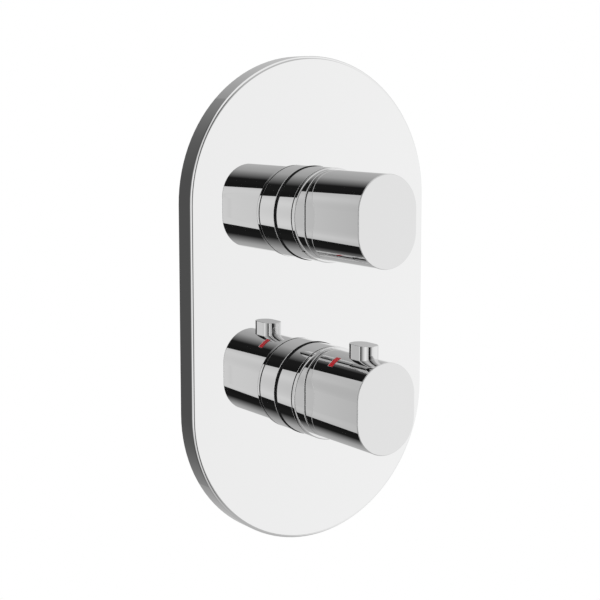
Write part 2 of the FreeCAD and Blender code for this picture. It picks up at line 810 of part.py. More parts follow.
def make_thermostat():
    """The thermostat cartridge: barrel with hot and cold windows, O-rings, end cap and sliding parts."""
    land = cartridge_radius
    relief = cartridge_radius - s.barrel_relief
    groove = cartridge_radius - s.oring_wire - s.fit
    groove_half = s.oring_groove_width / 2
    middle_half = s.barrel_middle_land / 2
    front_land = nut_back + s.barrel_land
    rear_land = barrel_end - s.barrel_land
    groove_places = (nut_back + s.barrel_land / 2, s.inlet_depth, barrel_end - s.barrel_land / 2)
    outer = [(land, nut_back)]
    middle_land = (s.inlet_depth - middle_half, s.inlet_depth + middle_half)
    zones = ((None, front_land), middle_land, (rear_land, None))
    for centre, (rise, fall) in zip(groove_places, zones):
        if rise is not None:
            outer += [(relief, rise), (land, rise)]
        low = centre - groove_half
        high = centre + groove_half
        outer += [(land, low), (groove, low), (groove, high), (land, high)]
        if fall is not None:
            outer += [(land, fall), (relief, fall)]
    neck = [(spindle_bore, neck_tip), (neck_radius, neck_tip), (neck_radius, nut_back)]
    shell = turned("barrel", neck + outer + [
        (land, barrel_end),
        (barrel_bore, barrel_end),
        (barrel_bore, cartridge_bottom),
        (spindle_bore, cartridge_bottom),
    ])
    hot_zone = (front_land + s.inlet_depth - middle_half) / 2
    cold_zone = (rear_land + s.inlet_depth + middle_half) / 2
    tools = []
    for zone, depth in (("hot", hot_zone), ("cold", cold_zone)):
        for step in range(int(s.barrel_windows.value / 2)):
            radius = s.barrel_window / 2
            window = rod(f"{zone}_window_{step}", radius, -chamber_radius, chamber_radius, "X", y=depth)
            turn = FreeCAD.Rotation(FreeCAD.Vector(0, 1, 0), step * FULL_TURN / s.barrel_windows.value)
            aimed = window.Placement.Rotation
            middle = FreeCAD.Vector(0, depth.value, 0)
            start = turn.multVec(FreeCAD.Vector(-chamber_radius.value, 0, 0))
            for axis in ("x", "y", "z"):
                window.setExpression(f"Placement.Base.{axis}", None)
            window.Placement = FreeCAD.Placement(middle + start, turn.multiply(aimed))
            tools.append(window)
    piece = cut_from(shell, tools, "barrel_cut")
    keep(place(piece, z=lower_z), "thermostat_housing")

    rings = doc.addObject("Part::Compound", "barrel_orings")
    links = []
    for number, centre in enumerate(groove_places):
        oring = doc.addObject("Part::Torus", f"barrel_oring_{number}")
        bind(oring, "Radius1", cartridge_radius - s.oring_wire / 2)
        bind(oring, "Radius2", s.oring_wire / 2)
        aim(oring, "Y")
        links.append(place(oring, y=centre))
    rings.Links = links
    keep(place(rings, z=lower_z), "thermostat_orings")
    cap_start = barrel_end - s.end_cap_length
    cap = tube("end_cap", s.end_cap_bore / 2, barrel_bore - s.fit, cap_start, barrel_end)
    keep(place(cap, z=lower_z), "thermostat_end_cap")
    make_nut("thermostat_nut", lower_z)
    make_regulator()


def make_regulator():
    """What slides with the temperature handle's thread: screw, overload spring, wax element and shuttle."""
    stem = s.regulator_thread / 2 - s.fit
    spigot = s.element_piston_diameter / 2
    flange = flange_rear + s.regulator_play
    flange_end = flange + s.regulator_flange
    spigot_end = flange_end + s.regulator_spigot
    screw = turned("regulator", [
        (0, flange - s.regulator_stem),
        (stem, flange - s.regulator_stem),
        (stem, flange),
        (slider_radius, flange),
        (slider_radius, flange_end),
        (spigot, flange_end),
        (spigot, spigot_end),
        (0, spigot_end),
    ])
    keep(place(screw, z=lower_z), "regulating_screw")
    spring_end = flange_end + s.overload_spring_length
    coil = s.overload_spring_diameter / 2
    spring = tube("overload_coil", coil - s.thermostat_spring_wire, coil, flange_end, spring_end)
    keep(place(spring, z=lower_z), "overload_spring")
    shoulder = spring_end + s.element_flange
    body_end = shoulder + s.element_length
    bulb = s.element_bulb_diameter / 2
    bulb_end = body_end + s.element_bulb_length
    piston = s.element_piston_diameter / 2
    element = turned("element", [
        (0, spring_end - s.element_piston_length),
        (piston, spring_end - s.element_piston_length),
        (piston, spring_end),
        (s.element_flange_diameter / 2, spring_end),
        (s.element_flange_diameter / 2, shoulder),
        (s.element_diameter / 2, shoulder),
        (s.element_diameter / 2, body_end),
        (bulb, body_end),
        (bulb, bulb_end - bulb / 2),
        (bulb / 2, bulb_end),
        (0, bulb_end),
    ])
    keep(place(element, z=lower_z), "wax_element")
    shuttle_end = shoulder + s.shuttle_length
    ring = tube("shuttle_ring", s.element_diameter / 2 + s.fit, slider_radius, shoulder, shuttle_end)
    ports = []
    for number, (across, up) in enumerate(ring_of(s.shuttle_ports, s.shuttle_ports_circle)):
        start = shoulder - s.overrun
        end = shuttle_end + s.overrun
        ports.append(rod(f"shuttle_port_{number}", s.shuttle_port / 2, start, end, "Y", x=across, z=up))
    piece = cut_from(ring, ports, "shuttle_cut")
    keep(place(piece, z=lower_z), "shuttle")
    coil = s.return_spring_diameter / 2
    front = shuttle_end + s.shuttle_stroke + s.fit
    rear = barrel_end - s.end_cap_length
    spring = tube("return_coil", coil - s.thermostat_spring_wire, coil, front, rear)
    keep(place(spring, z=lower_z), "return_spring")


def span(near, far, hand):
    """Two distances from the middle as places on the left or the right, the lower one first."""
    return (near, far) if hand > 0 else (-far, -near)


def make_inlet_valve(side, hand):
    """The strainer and non-return valve in one inlet. Water pushes the poppet inwards from its seat."""
    outer = s.check_bore / 2 - s.fit
    bore = outer - s.check_wall
    stem = s.check_stem / 2
    hub = s.check_hub / 2
    seat = s.check_seat_bore / 2
    floor = s.inlet_floor
    wall = floor + s.check_wall
    mouth = floor + s.check_length
    seat_face = mouth - s.check_wall

    def mirrored(profile):
        return [(radius, along * hand) for radius, along in profile]

    cage = turned(f"{side}_cage", mirrored([
        (stem + s.fit, floor),
        (outer, floor),
        (outer, mouth),
        (seat, mouth),
        (seat, seat_face),
        (bore, seat_face),
        (bore, wall),
        (hub, wall),
        (hub, wall + s.check_hub_length),
        (stem + s.fit, wall + s.check_hub_length),
    ]), "X")
    ports = []
    for number, (across, up) in enumerate(ring_of(s.check_ports, s.check_ports_circle)):
        ends = span(floor - s.overrun, wall + s.overrun, hand)
        ports.append(rod(f"{side}_cage_port_{number}", s.check_port / 2, *ends, "X", y=across, z=up))
    piece = cut_from(cage, ports, f"{side}_cage_cut")
    keep(place(piece, y=s.inlet_depth, z=lower_z), f"{side}_check_cage")

    disc_back = seat_face - s.fit - s.check_disc
    disc_radius_here = bore - s.running_gap * 2
    stem_end = floor + s.check_travel + s.running_gap
    poppet = turned(f"{side}_poppet", mirrored([
        (0, stem_end),
        (stem, stem_end),
        (stem, disc_back),
        (disc_radius_here, disc_back),
        (disc_radius_here, seat_face - s.fit),
        (0, seat_face - s.fit),
    ]), "X")
    keep(place(poppet, y=s.inlet_depth, z=lower_z), f"{side}_check_poppet")
    coil = hub + s.running_gap
    spring = turned(f"{side}_coil", mirrored([
        (coil, wall),
        (coil + s.check_spring_wire, wall),
        (coil + s.check_spring_wire, disc_back),
        (coil, disc_back),
    ]), "X")
    keep(place(spring, y=s.inlet_depth, z=lower_z), f"{side}_check_spring")
    ends = span(mouth, mouth + s.filter_thickness, hand)
    disc = rod(f"{side}_filter_disc", outer, *ends, "X")
    holes = []
    for number, (across, up) in enumerate(ring_of(s.filter_holes, s.filter_holes_circle) + [(0, 0)]):
        start = ends[0] - s.overrun
        end = ends[1] + s.overrun
        name = f"{side}_filter_hole_{number}"
        holes.append(rod(name, s.filter_hole / 2, start, end, "X", y=across, z=up))
    piece = cut_from(disc, holes, f"{side}_filter_cut")
    keep(place(piece, y=s.inlet_depth, z=lower_z), f"{side}_filter")


def make_valve_body():
    """The brass casting: two chambers joined by a duct, with inlets at the sides and outlets upwards."""
    shell = chamber_radius + s.body_wall
    boss = s.port_boss / 2
    thread = s.port_thread_bore / 2
    duct = s.duct_bore / 2
    reach = s.inlet_reach
    hex_start = reach - s.port_hex_length
    bar_end = hex_start + s.overrun
    bridge = s.outlet_offset
    outlet_y = disc_channel_depth
    rib_half = s.rib_thickness / 2
    mouth = s.outlet_reach
    outlet_hex = mouth - s.port_hex_length
    outlet_low = upper_z - boss
    screw_x = s.bracket_screw_spacing / 2
    web_half = s.bracket_web_height / 2
    boss_start = body_depth - s.bracket_boss_length
    upper_rear = upper_chamber_floor + s.body_wall
    outer = [
        rod("lower_chamber", shell, s.body_face_depth, body_depth, "Y", z=lower_z),
        rod("upper_chamber", shell, s.body_face_depth, upper_rear, "Y", z=upper_z),
        rod("upper_rear", s.upper_rear_diameter / 2, upper_rear - s.overrun, body_depth, "Y", z=upper_z),
        rod("duct_wall", duct + s.duct_wall, lower_z, upper_z, "Z", y=duct_depth),
        block("rib", (-rib_half, s.body_face_depth + s.overrun, lower_z), (rib_half, duct_depth, upper_z)),
        rod("inlet_bar", boss, -bar_end, bar_end, "X", y=s.inlet_depth, z=lower_z),
        rod("outlet_bridge", s.outlet_bridge / 2, -bridge, bridge, "X", y=outlet_y, z=upper_z),
        block("screw_web", (-screw_x, boss_start, -web_half), (screw_x, duct_depth, web_half)),
    ]
    bores = [
        rod("lower_bore", chamber_radius, 0, lower_chamber_floor, "Y", z=lower_z),
        rod("upper_bore", chamber_radius, 0, upper_chamber_floor, "Y", z=upper_z),
        rod("upper_port", duct, upper_chamber_floor - s.overrun, duct_depth, "Y", z=upper_z),
        rod("duct", duct, lower_z, upper_z, "Z", y=duct_depth),
        rod("gallery", s.outlet_gallery / 2, -bridge, bridge, "X", y=outlet_y, z=upper_z),
    ]
    for level, height in (("upper", upper_z), ("lower", lower_z)):
        inner = s.body_face_depth + s.overrun
        outer.append(rod(f"{level}_neck", sleeve_bore - s.fit, s.body_neck_depth, inner, "Y", z=height))
    for side, hand in (("left", -1), ("right", 1)):
        x = s.outlet_offset * hand
        port_y = s.inlet_depth + s.inlet_port_shift * hand
        hex_ends = span(hex_start, reach, hand)
        thread_end = s.inlet_floor + s.check_bore_length
        bore_ends = span(thread_end, reach + s.overrun, hand)
        check_ends = span(s.inlet_floor, thread_end + s.overrun, hand)
        wall_ends = span(chamber_radius - s.overrun, s.inlet_floor + s.overrun, hand)
        thread_start = mouth - s.outlet_thread_length
        outer += [
            hex_bar(f"{side}_inlet_hex", s.port_hex_flats, *hex_ends, "X", y=s.inlet_depth, z=lower_z),
            rod(f"{side}_outlet_bar", boss, outlet_low, outlet_hex + s.overrun, "Z", x=x, y=outlet_y),
            hex_bar(f"{side}_outlet_hex", s.port_hex_flats, outlet_hex, mouth, "Z", x=x, y=outlet_y),
            rod(f"{side}_screw_boss", s.bracket_boss / 2, boss_start, body_depth, "Y", x=screw_x * hand),
        ]
        screw_end = body_depth + s.bracket_thickness - s.bracket_screw_length - s.overrun
        bores += [
            rod(f"{side}_inlet_bore", thread, *bore_ends, "X", y=s.inlet_depth, z=lower_z),
            rod(f"{side}_check_bore", s.check_bore / 2, *check_ends, "X", y=s.inlet_depth, z=lower_z),
            rod(f"{side}_inlet_port", s.inlet_port / 2, *wall_ends, "X", y=port_y, z=lower_z),
            rod(f"{side}_outlet_bore", thread, thread_start, mouth + s.overrun, "Z", x=x, y=outlet_y),
            rod(f"{side}_outlet_port", duct, upper_z, thread_start + s.overrun, "Z", x=x, y=outlet_y),
            rod(f"{side}_screw_hole", s.bracket_screw / 2 + s.fit, screw_end, body_depth + s.overrun, "Y",
                x=screw_x * hand),
        ]
    keep(cut_from(fused("casting", outer), bores, "valve_casting"), "valve_body")


def make_bracket():
    """The steel strip behind the body, screwed to the wall's frame, and the two screws that hold it."""
    body = new_body("bracket")
    half = s.bracket_width / 2
    rear = body_depth + s.bracket_thickness
    outline = new_sketch(body, "XZ_Plane", -rear)
    add_oblong(outline, half, s.bracket_spacing_up / 2 - s.bracket_hole_overhang)
    pad(body, outline, s.bracket_thickness)
    holes = new_sketch(body, "XZ_Plane", -rear)
    for across in (-1, 1):
        for up in (-1, 1):
            x = s.bracket_spacing_across / 2 * across
            z = s.bracket_spacing_up / 2 * up
            add_circle(holes, x, z, s.bracket_hole / 2)
        clear = s.bracket_screw / 2 + s.bracket_screw_hole_clearance
        add_circle(holes, s.bracket_screw_spacing / 2 * across, 0, clear)
    pocket(body, holes, s.bracket_thickness + s.overrun)
    keep(body, "wall_bracket")

    links = []
    for side, hand in (("left", -1), ("right", 1)):
        shank = s.bracket_screw / 2
        head = s.bracket_screw_head / 2
        head_end = rear + s.bracket_screw_head_height
        dome = s.bracket_screw_head_height / 2
        screw = turned(f"{side}_screw", [
            (0, rear - s.bracket_screw_length),
            (shank, rear - s.bracket_screw_length),
            (shank, rear),
            (head, rear),
            (head, head_end - dome),
            (head - dome, head_end),
            (0, head_end),
        ])
        key = hex_bar(f"{side}_screw_key", s.bracket_screw_key, head_end - dome, head_end + s.overrun, "Y")
        screw = cut_from(screw, [key], f"{side}_screw_cut")
        links.append(place(screw, x=s.bracket_screw_spacing / 2 * hand))
    screws = doc.addObject("Part::Compound", "screws")
    screws.Links = links
    keep(screws, "bracket_screws")


def check_and_write():
    """Stop on anything that failed, then write one file for each piece."""
    doc.recompute()
    for item in doc.Objects:
        if "Invalid" in item.State or "Error" in item.State:
            raise RuntimeError(f"{item.Label} failed: {item.State}")
    for piece in pieces:
        if piece.Shape.isNull() or not piece.Shape.isValid():
            raise RuntimeError(f"{piece.Label} has no sound shape")
    os.makedirs("parts", exist_ok=True)
    for piece in pieces:
        piece.Shape.exportStep(f"parts/{piece.Label}.step")
        print(piece.Label, len(piece.Shape.Solids), round(piece.Shape.Volume, 1))


make_plate()
make_collar("upper", upper_z)
make_collar("lower", lower_z)
make_flow_knob()
make_flow_cartridge()
make_temperature_knob()
make_button()
make_stop_ring()
make_thermostat()
make_valve_body()
make_inlet_valve("hot", -1)
make_inlet_valve("cold", 1)
make_bracket()
check_and_write()
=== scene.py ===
import json
import math

import bpy
from bpy.props import FloatProperty, FloatVectorProperty, IntProperty, PointerProperty
from mathutils import Euler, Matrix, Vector


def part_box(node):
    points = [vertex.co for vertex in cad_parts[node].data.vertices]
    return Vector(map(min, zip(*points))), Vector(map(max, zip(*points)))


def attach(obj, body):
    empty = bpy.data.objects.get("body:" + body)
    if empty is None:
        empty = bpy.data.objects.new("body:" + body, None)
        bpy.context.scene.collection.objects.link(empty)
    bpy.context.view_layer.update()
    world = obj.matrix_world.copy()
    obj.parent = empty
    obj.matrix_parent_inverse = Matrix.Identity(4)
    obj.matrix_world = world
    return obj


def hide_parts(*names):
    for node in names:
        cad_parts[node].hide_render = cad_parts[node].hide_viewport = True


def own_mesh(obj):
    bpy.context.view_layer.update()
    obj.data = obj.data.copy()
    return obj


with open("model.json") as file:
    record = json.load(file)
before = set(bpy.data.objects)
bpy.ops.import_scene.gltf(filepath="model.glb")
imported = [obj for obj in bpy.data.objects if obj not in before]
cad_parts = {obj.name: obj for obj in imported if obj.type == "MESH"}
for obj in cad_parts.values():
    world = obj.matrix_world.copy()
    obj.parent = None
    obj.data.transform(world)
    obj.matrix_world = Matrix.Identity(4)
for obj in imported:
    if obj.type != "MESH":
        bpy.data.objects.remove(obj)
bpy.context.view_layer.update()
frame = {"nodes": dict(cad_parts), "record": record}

bl_info = {
    "name": "Concealed mixer valve",
    "version": (1, 0, 0),
    "blender": (4, 5, 0),
    "location": "3D View > Sidebar > Mixer valve",
    "description": "Finishes, fine parts and studio of a concealed shower mixer with two knobs",
    "category": "Object",
}

MM = 0.001
AXES = {"X": 0, "Y": 1, "Z": 2}
MOUNTS = {mount["name"]: mount for mount in frame["record"]["mounts"]}
PORTS = ("hot_inlet", "cold_inlet", "left_outlet", "right_outlet")

# A wave pattern runs through this many radians for each unit of its scale
WAVE_RADIANS = 20


def linear(hex_colour):
    """An sRGB hex colour as linear red, green and blue."""
    channels = [int(hex_colour[i:i + 2], 16) / 255 for i in (1, 3, 5)]
    return tuple(c / 12.92 if c <= 0.04045 else ((c + 0.055) / 1.055) ** 2.4 for c in channels)


def opaque(colour, share=1.0):
    """A colour, or a darker or lighter share of it, for a socket that also wants alpha."""
    return (*(channel * share for channel in colour), 1.0)


def per_mm(size):
    """The scale of a noise or cell pattern whose features are this many millimetres wide."""
    return 1 / (size * MM)


def lines_per_mm(spacing):
    """The scale of a wave pattern whose lines are this many millimetres apart."""
    return math.tau / WAVE_RADIANS / (spacing * MM)


def add_node(tree, kind, inputs=None, **settings):
    """Add a node, give it its settings, and fill or link its inputs."""
    node = tree.nodes.new(kind)
    for name, value in settings.items():
        setattr(node, name, value)
    for name, value in (inputs or {}).items():
        if isinstance(value, bpy.types.NodeSocket):
            tree.links.new(value, node.inputs[name])
        else:
            node.inputs[name].default_value = value
    return node


def colour_property(name, hex_colour, description):
    """A colour that the user can change."""
    return FloatVectorProperty(
        name=name,
        description=description,
        subtype="COLOR",
        size=3,
        min=0,
        max=1,
        default=linear(hex_colour),
    )


def length_property(name, millimetres, description):
    """A length that the user can change."""
    return FloatProperty(name=name, description=description, unit="LENGTH", default=millimetres * MM)


class MixerFinish(bpy.types.PropertyGroup):
    """Colours of the finishes."""

    plate_chrome: colour_property("Plate chrome", "#F0F0F0", "Mirror chrome of the flat cover plate")
    collar_chrome: colour_property("Collar chrome", "#E9E9E9", "Mirror chrome of the two collars")
    knob_chrome: colour_property("Knob chrome", "#E2E2E2", "Mirror chrome of handles and safety button")
    red_mark: colour_property("Temperature mark", "#CB1424", "Red enamel of the dash at 38 degrees")
    rubber: colour_property("Rubber", "#101011", "EPDM rubber of seals, gasket and O-rings")
    cast_brass: colour_property("Cast brass", "#C4A164", "The valve body, as it leaves the sand")
    turned_brass: colour_property("Turned brass", "#DDBC7C", "Brass turned from bar")
    steel: colour_property("Stainless steel", "#C6C7C8", "Springs, strainers and screws")
    zinc: colour_property("Zinc", "#C3C8CC", "Galvanised bracket")
    plastic: colour_property("Moulded plastic", "#6D7074", "Cartridge housings, cages and inserts")
    ceramic: colour_property("Ceramic", "#EDEAE2", "Lapped alumina discs")
    copper: colour_property("Copper", "#D09070", "Drawn case of the wax element")


class MixerFineParts(bpy.types.PropertyGroup):
    """Sizes of the wound, cut and buffed parts."""

    button_wire: length_property("Button spring wire", 0.7, "Wire of the spring under the safety button")
    thermostat_wire: length_property(
        "Thermostat spring wire", 1.2, "Wire of the overload and return springs"
    )
    check_wire: length_property("Check spring wire", 0.8, "Wire of the springs in the check valves")
    button_turns: IntProperty(name="Button spring turns", description="Turns of wire", default=4)
    overload_turns: IntProperty(name="Overload spring turns", description="Turns of wire", default=3)
    return_turns: IntProperty(name="Return spring turns", description="Turns of wire", default=5)
    check_turns: IntProperty(name="Check spring turns", description="Turns of wire", default=6)
    thread_pitch: length_property(
        "Port thread pitch", 1.814, "14 threads to the inch, as on half-inch pipe"
    )
    thread_crest: length_property("Port thread crest", 0.45, "How far a thread stands in from the bore")
    seal_width: length_property("Collar seal width", 1.6, "Width of the rubber ring behind a collar")
    seal_bulge: length_property(
        "Collar seal bulge", 0.4, "How far a squeezed ring swells out past its edge"
    )
    knob_round: length_property("Knob edge round", 0.4, "How far buffing has rounded a handle's edges")
    # Groove setback and width place a band of painted shade, near-black, in and just beside each
    # collar's groove
    groove_setback: length_property(
        "Collar groove setback", 1.6, "From a collar's front to the dull line in and beside its groove"
    )
    groove_shade_width: length_property(
        "Collar groove width", 0.7, "Width of that dull line, a little more than the groove's own"
    )
    groove_round: length_property(
        "Collar groove round", 0.2, "How far buffing has rounded the edges of collar and groove"
    )


class MixerStudio(bpy.types.PropertyGroup):
    """Camera, light, wall and floor."""

    camera_place: FloatVectorProperty(
        name="Camera place",
        description="Where the camera stands, from the middle of the plate's back",
        subtype="TRANSLATION",
        unit="LENGTH",
        default=(-0.329251, -0.465254, 0.085936),
    )
    camera_heading: FloatProperty(
        name="Camera heading",
        description="How far the camera is turned to the right of straight at the wall",
        subtype="ANGLE",
        default=math.radians(35.256),
    )
    camera_dip: FloatProperty(
        name="Camera dip",
        description="How far the camera looks down",
        subtype="ANGLE",
        default=math.radians(7.104),
    )
    camera_drop: FloatProperty(
        name="Camera drop",
        description="How far the lens is shifted down, as a share of the picture, to hold uprights",
        subtype="FACTOR",
        default=0.06,
    )
    focal_length: FloatProperty(
        name="Focal length",
        description="Lens of the camera on a sensor 36 mm wide",
        subtype="DISTANCE_CAMERA",
        default=80.243,
    )
    floor_depth: FloatProperty(
        name="Floor",
        description="How far the floor lies below the middle of the plate",
        unit="LENGTH",
        default=1.1,
    )
    reach: FloatProperty(
        name="Reach",
        description="How far the wall and the floor run to each side",
        unit="LENGTH",
        default=12.0,
    )
    floor_shade: colour_property("Floor shade", "#ECECEA", "Darker clouds of the floor")
    floor_light: colour_property("Floor light", "#F4F4F3", "Lighter clouds of the floor")
    lamp_power: FloatProperty(
        name="Lamp power",
        description="Power of each soft lamp",
        subtype="POWER",
        default=5.0,
    )
    lamp_width: FloatProperty(
        name="Lamp width",
        description="Width of each soft lamp",
        unit="LENGTH",
        default=1.0,
    )


def new_material(name):
    """An empty material, its nodes, and the place on the object that its patterns follow."""
    material = bpy.data.materials.new(name)
    material.use_nodes = True
    tree = material.node_tree
    tree.nodes.clear()
    place = add_node(tree, "ShaderNodeTexCoord").outputs["Object"]
    return material, tree, place


def finished(material, sockets):
    """The material with its shader's sockets filled or linked."""
    tree = material.node_tree
    shader = add_node(tree, "ShaderNodeBsdfPrincipled", sockets)
    add_node(tree, "ShaderNodeOutputMaterial", {"Surface": shader.outputs["BSDF"]})
    return material


def polished_chrome(name, colour, edge_round=0.0, groove=None):
    """Chrome plated over buffed brass: a near-white mirror, faintly wavy and veiled by wiping.

    Its edges are rounded by buffing. A groove, given by its place along Y and its width, is made fully
    rough and painted near-black in and just beside it: painted shade in the recess.
    """
    material, tree, place = new_material(name)
    veil = add_node(tree, "ShaderNodeTexNoise", {"Vector": place, "Scale": per_mm(12), "Detail": 5.0})
    gloss = add_node(
        tree, "ShaderNodeMapRange", {"Value": veil.outputs["Fac"], "To Min": 0.004, "To Max": 0.016}
    ).outputs["Result"]
    buffing = add_node(tree, "ShaderNodeTexNoise", {"Vector": place, "Scale": per_mm(25), "Detail": 1.0})
    waves = add_node(
        tree,
        "ShaderNodeBump",
        {"Height": buffing.outputs["Fac"], "Strength": 0.02, "Distance": 0.05 * MM},
    )
    if edge_round:
        edges = add_node(tree, "ShaderNodeBevel", {"Radius": edge_round}, samples=16)
        tree.links.new(edges.outputs["Normal"], waves.inputs["Normal"])
    tone = opaque(colour)
    # Painted shade: in and just beside the groove the colour drops to a hundredth of the chrome's, and
    # the roughness goes to full
    if groove:
        groove_place, groove_shade_width = groove
        along = add_node(tree, "ShaderNodeSeparateXYZ", {"Vector": place}).outputs["Y"]
        dull = add_node(
            tree, "ShaderNodeMath", {0: along, 1: groove_place, 2: groove_shade_width / 2}, operation="COMPARE"
        ).outputs[0]
        tone = add_node(
            tree,
            "ShaderNodeMix",
            {"Factor": dull, "A": opaque(colour), "B": opaque(colour, 0.01)},
            data_type="RGBA",
        ).outputs["Result"]
        gloss = add_node(tree, "ShaderNodeMath", {0: gloss, 1: dull}, operation="MAXIMUM").outputs[0]
    return finished(material, {
        "Base Color": tone,
        "Metallic": 1.0,
        "Roughness": gloss,
        "Normal": waves.outputs["Normal"],
    })


def red_enamel(colour):
    """Stoved enamel filled in by hand: glossy, with a slightly uneven skin."""
    material, tree, place = new_material("Red stoved enamel")
    skin = add_node(tree, "ShaderNodeTexNoise", {"Vector": place, "Scale": per_mm(0.8), "Detail": 2.0})
    gloss = add_node(
        tree, "ShaderNodeMapRange", {"Value": skin.outputs["Fac"], "To Min": 0.25, "To Max": 0.4}
    )
    waves = add_node(
        tree, "ShaderNodeBump", {"Height": skin.outputs["Fac"], "Strength": 0.2, "Distance": 0.03 * MM}
    )
    return finished(material, {
        "Base Color": opaque(colour),
        "IOR": 1.52,
        "Roughness": gloss.outputs["Result"],
        "Normal": waves.outputs["Normal"],
    })


def epdm_rubber(colour):
    """Moulded EPDM: black and matt, with the fine tooth of the mould and a grey bloom in patches."""
    material, tree, place = new_material("EPDM rubber")
    bloom = add_node(tree, "ShaderNodeTexNoise", {"Vector": place, "Scale": per_mm(5), "Detail": 4.0})
    tone = add_node(
        tree,
        "ShaderNodeMix",
        {"Factor": bloom.outputs["Fac"], "A": opaque(colour, 0.7), "B": opaque(colour, 1.4)},
        data_type="RGBA",
    )
    tooth = add_node(tree, "ShaderNodeTexNoise", {"Vector": place, "Scale": per_mm(0.25), "Detail": 3.0})
    matt = add_node(
        tree, "ShaderNodeMapRange", {"Value": bloom.outputs["Fac"], "To Min": 0.5, "To Max": 0.75}
    )
    relief = add_node(
        tree, "ShaderNodeBump", {"Height": tooth.outputs["Fac"], "Strength": 0.4, "Distance": 0.05 * MM}
    )
    return finished(material, {
        "Base Color": tone.outputs["Result"],
        "IOR": 1.5,
        "Specular IOR Level": 0.2,
        "Roughness": matt.outputs["Result"],
        "Normal": relief.outputs["Normal"],
    })


def port_mask(tree, place, mount):
    """1 on the walls and the mouth that the port's cutter left, 0 elsewhere."""
    wall_slack, mouth_slack = 0.3 * MM, 0.1 * MM
    axis = Vector(mount["axis"])
    wall = mount["dims"]["r_mm"] * MM + wall_slack
    half_depth = mount["dims"]["length_mm"] / 2 * MM
    offset = add_node(
        tree, "ShaderNodeVectorMath", {0: place, 1: mount["pos_m"]}, operation="SUBTRACT"
    ).outputs["Vector"]
    along = add_node(
        tree, "ShaderNodeVectorMath", {0: offset, 1: axis}, operation="DOT_PRODUCT"
    ).outputs["Value"]
    across = add_node(
        tree, "ShaderNodeVectorMath", {0: offset, 1: axis}, operation="CROSS_PRODUCT"
    ).outputs["Vector"]
    distance = add_node(tree, "ShaderNodeVectorMath", {0: across}, operation="LENGTH").outputs["Value"]
    in_bore = add_node(tree, "ShaderNodeMath", {0: distance, 1: wall}, operation="LESS_THAN").outputs[0]
    outward = add_node(
        tree, "ShaderNodeMath", {0: along, 1: -half_depth}, operation="GREATER_THAN"
    ).outputs[0]
    bore = add_node(tree, "ShaderNodeMath", {0: in_bore, 1: outward}, operation="MULTIPLY").outputs[0]
    mouth = add_node(
        tree, "ShaderNodeMath", {0: along, 1: half_depth - mouth_slack}, operation="GREATER_THAN"
    ).outputs[0]
    return add_node(tree, "ShaderNodeMath", {0: bore, 1: mouth}, operation="MAXIMUM").outputs[0]


def sand_cast_brass(colour, bright):
    """Brass as it leaves the sand: a matt grain with duller patches, cut bright at the ports."""
    material, tree, place = new_material("Sand-cast brass")
    cut, *more_cuts = [port_mask(tree, place, MOUNTS[port]) for port in PORTS]
    for mask in more_cuts:
        cut = add_node(tree, "ShaderNodeMath", {0: cut, 1: mask}, operation="MAXIMUM").outputs[0]
    patches = add_node(tree, "ShaderNodeTexNoise", {"Vector": place, "Scale": per_mm(14), "Detail": 5.0})
    grain = add_node(tree, "ShaderNodeTexNoise", {"Vector": place, "Scale": per_mm(0.7), "Detail": 4.0})
    dull = add_node(
        tree,
        "ShaderNodeMix",
        {"Factor": patches.outputs["Fac"], "A": opaque(colour, 0.6), "B": opaque(colour, 1.15)},
        data_type="RGBA",
    )
    tone = add_node(
        tree,
        "ShaderNodeMix",
        {"Factor": cut, "A": dull.outputs["Result"], "B": opaque(bright)},
        data_type="RGBA",
    )
    matt = add_node(
        tree, "ShaderNodeMapRange", {"Value": grain.outputs["Fac"], "To Min": 0.4, "To Max": 0.62}
    )
    gloss = add_node(
        tree, "ShaderNodeMix", {0: cut, 2: matt.outputs["Result"], 3: 0.24}, data_type="FLOAT"
    )
    uncut = add_node(tree, "ShaderNodeMath", {0: 1.0, 1: cut}, operation="SUBTRACT")
    relief = add_node(
        tree,
        "ShaderNodeBump",
        {"Height": grain.outputs["Fac"], "Strength": uncut.outputs[0], "Distance": 0.12 * MM},
    )
    return finished(material, {
        "Base Color": tone.outputs["Result"],
        "Metallic": 1.0,
        "Roughness": gloss.outputs[0],
        "Normal": relief.outputs["Normal"],
    })


def turned_metal(name, colour, axis, feed):
    """Metal turned from bar: bright, and ringed by the tool's feed, drawn coarser than it is to show."""
    material, tree, place = new_material(name)
    rings = add_node(
        tree,
        "ShaderNodeTexWave",
        {"Vector": place, "Scale": lines_per_mm(feed), "Distortion": 0.4, "Detail": 1.0},
        bands_direction=axis,
    )
    handling = add_node(tree, "ShaderNodeTexNoise", {"Vector": place, "Scale": per_mm(6), "Detail": 5.0})
    tone = add_node(
        tree,
        "ShaderNodeMix",
        {"Factor": handling.outputs["Fac"], "A": opaque(colour, 0.82), "B": opaque(colour)},
        data_type="RGBA",
    )
    gloss = add_node(
        tree, "ShaderNodeMapRange", {"Value": handling.outputs["Fac"], "To Min": 0.16, "To Max": 0.34}
    )
    relief = add_node(
        tree, "ShaderNodeBump", {"Height": rings.outputs["Fac"], "Strength": 0.25, "Distance": 0.02 * MM}
    )
    return finished(material, {
        "Base Color": tone.outputs["Result"],
        "Metallic": 1.0,
        "Roughness": gloss.outputs["Result"],
        "Normal": relief.outputs["Normal"],
    })


def drawn_wire(colour):
    """Stainless spring wire: bright, with faint dull streaks from the drawing die."""
    material, tree, place = new_material("Drawn stainless wire")
    streaks = add_node(
        tree, "ShaderNodeTexNoise", {"Vector": place, "Scale": per_mm(0.4), "Detail": 3.0}
    )
    gloss = add_node(
        tree, "ShaderNodeMapRange", {"Value": streaks.outputs["Fac"], "To Min": 0.18, "To Max": 0.38}
    )
    return finished(material, {
        "Base Color": opaque(colour),
        "Metallic": 1.0,
        "Roughness": gloss.outputs["Result"],
    })


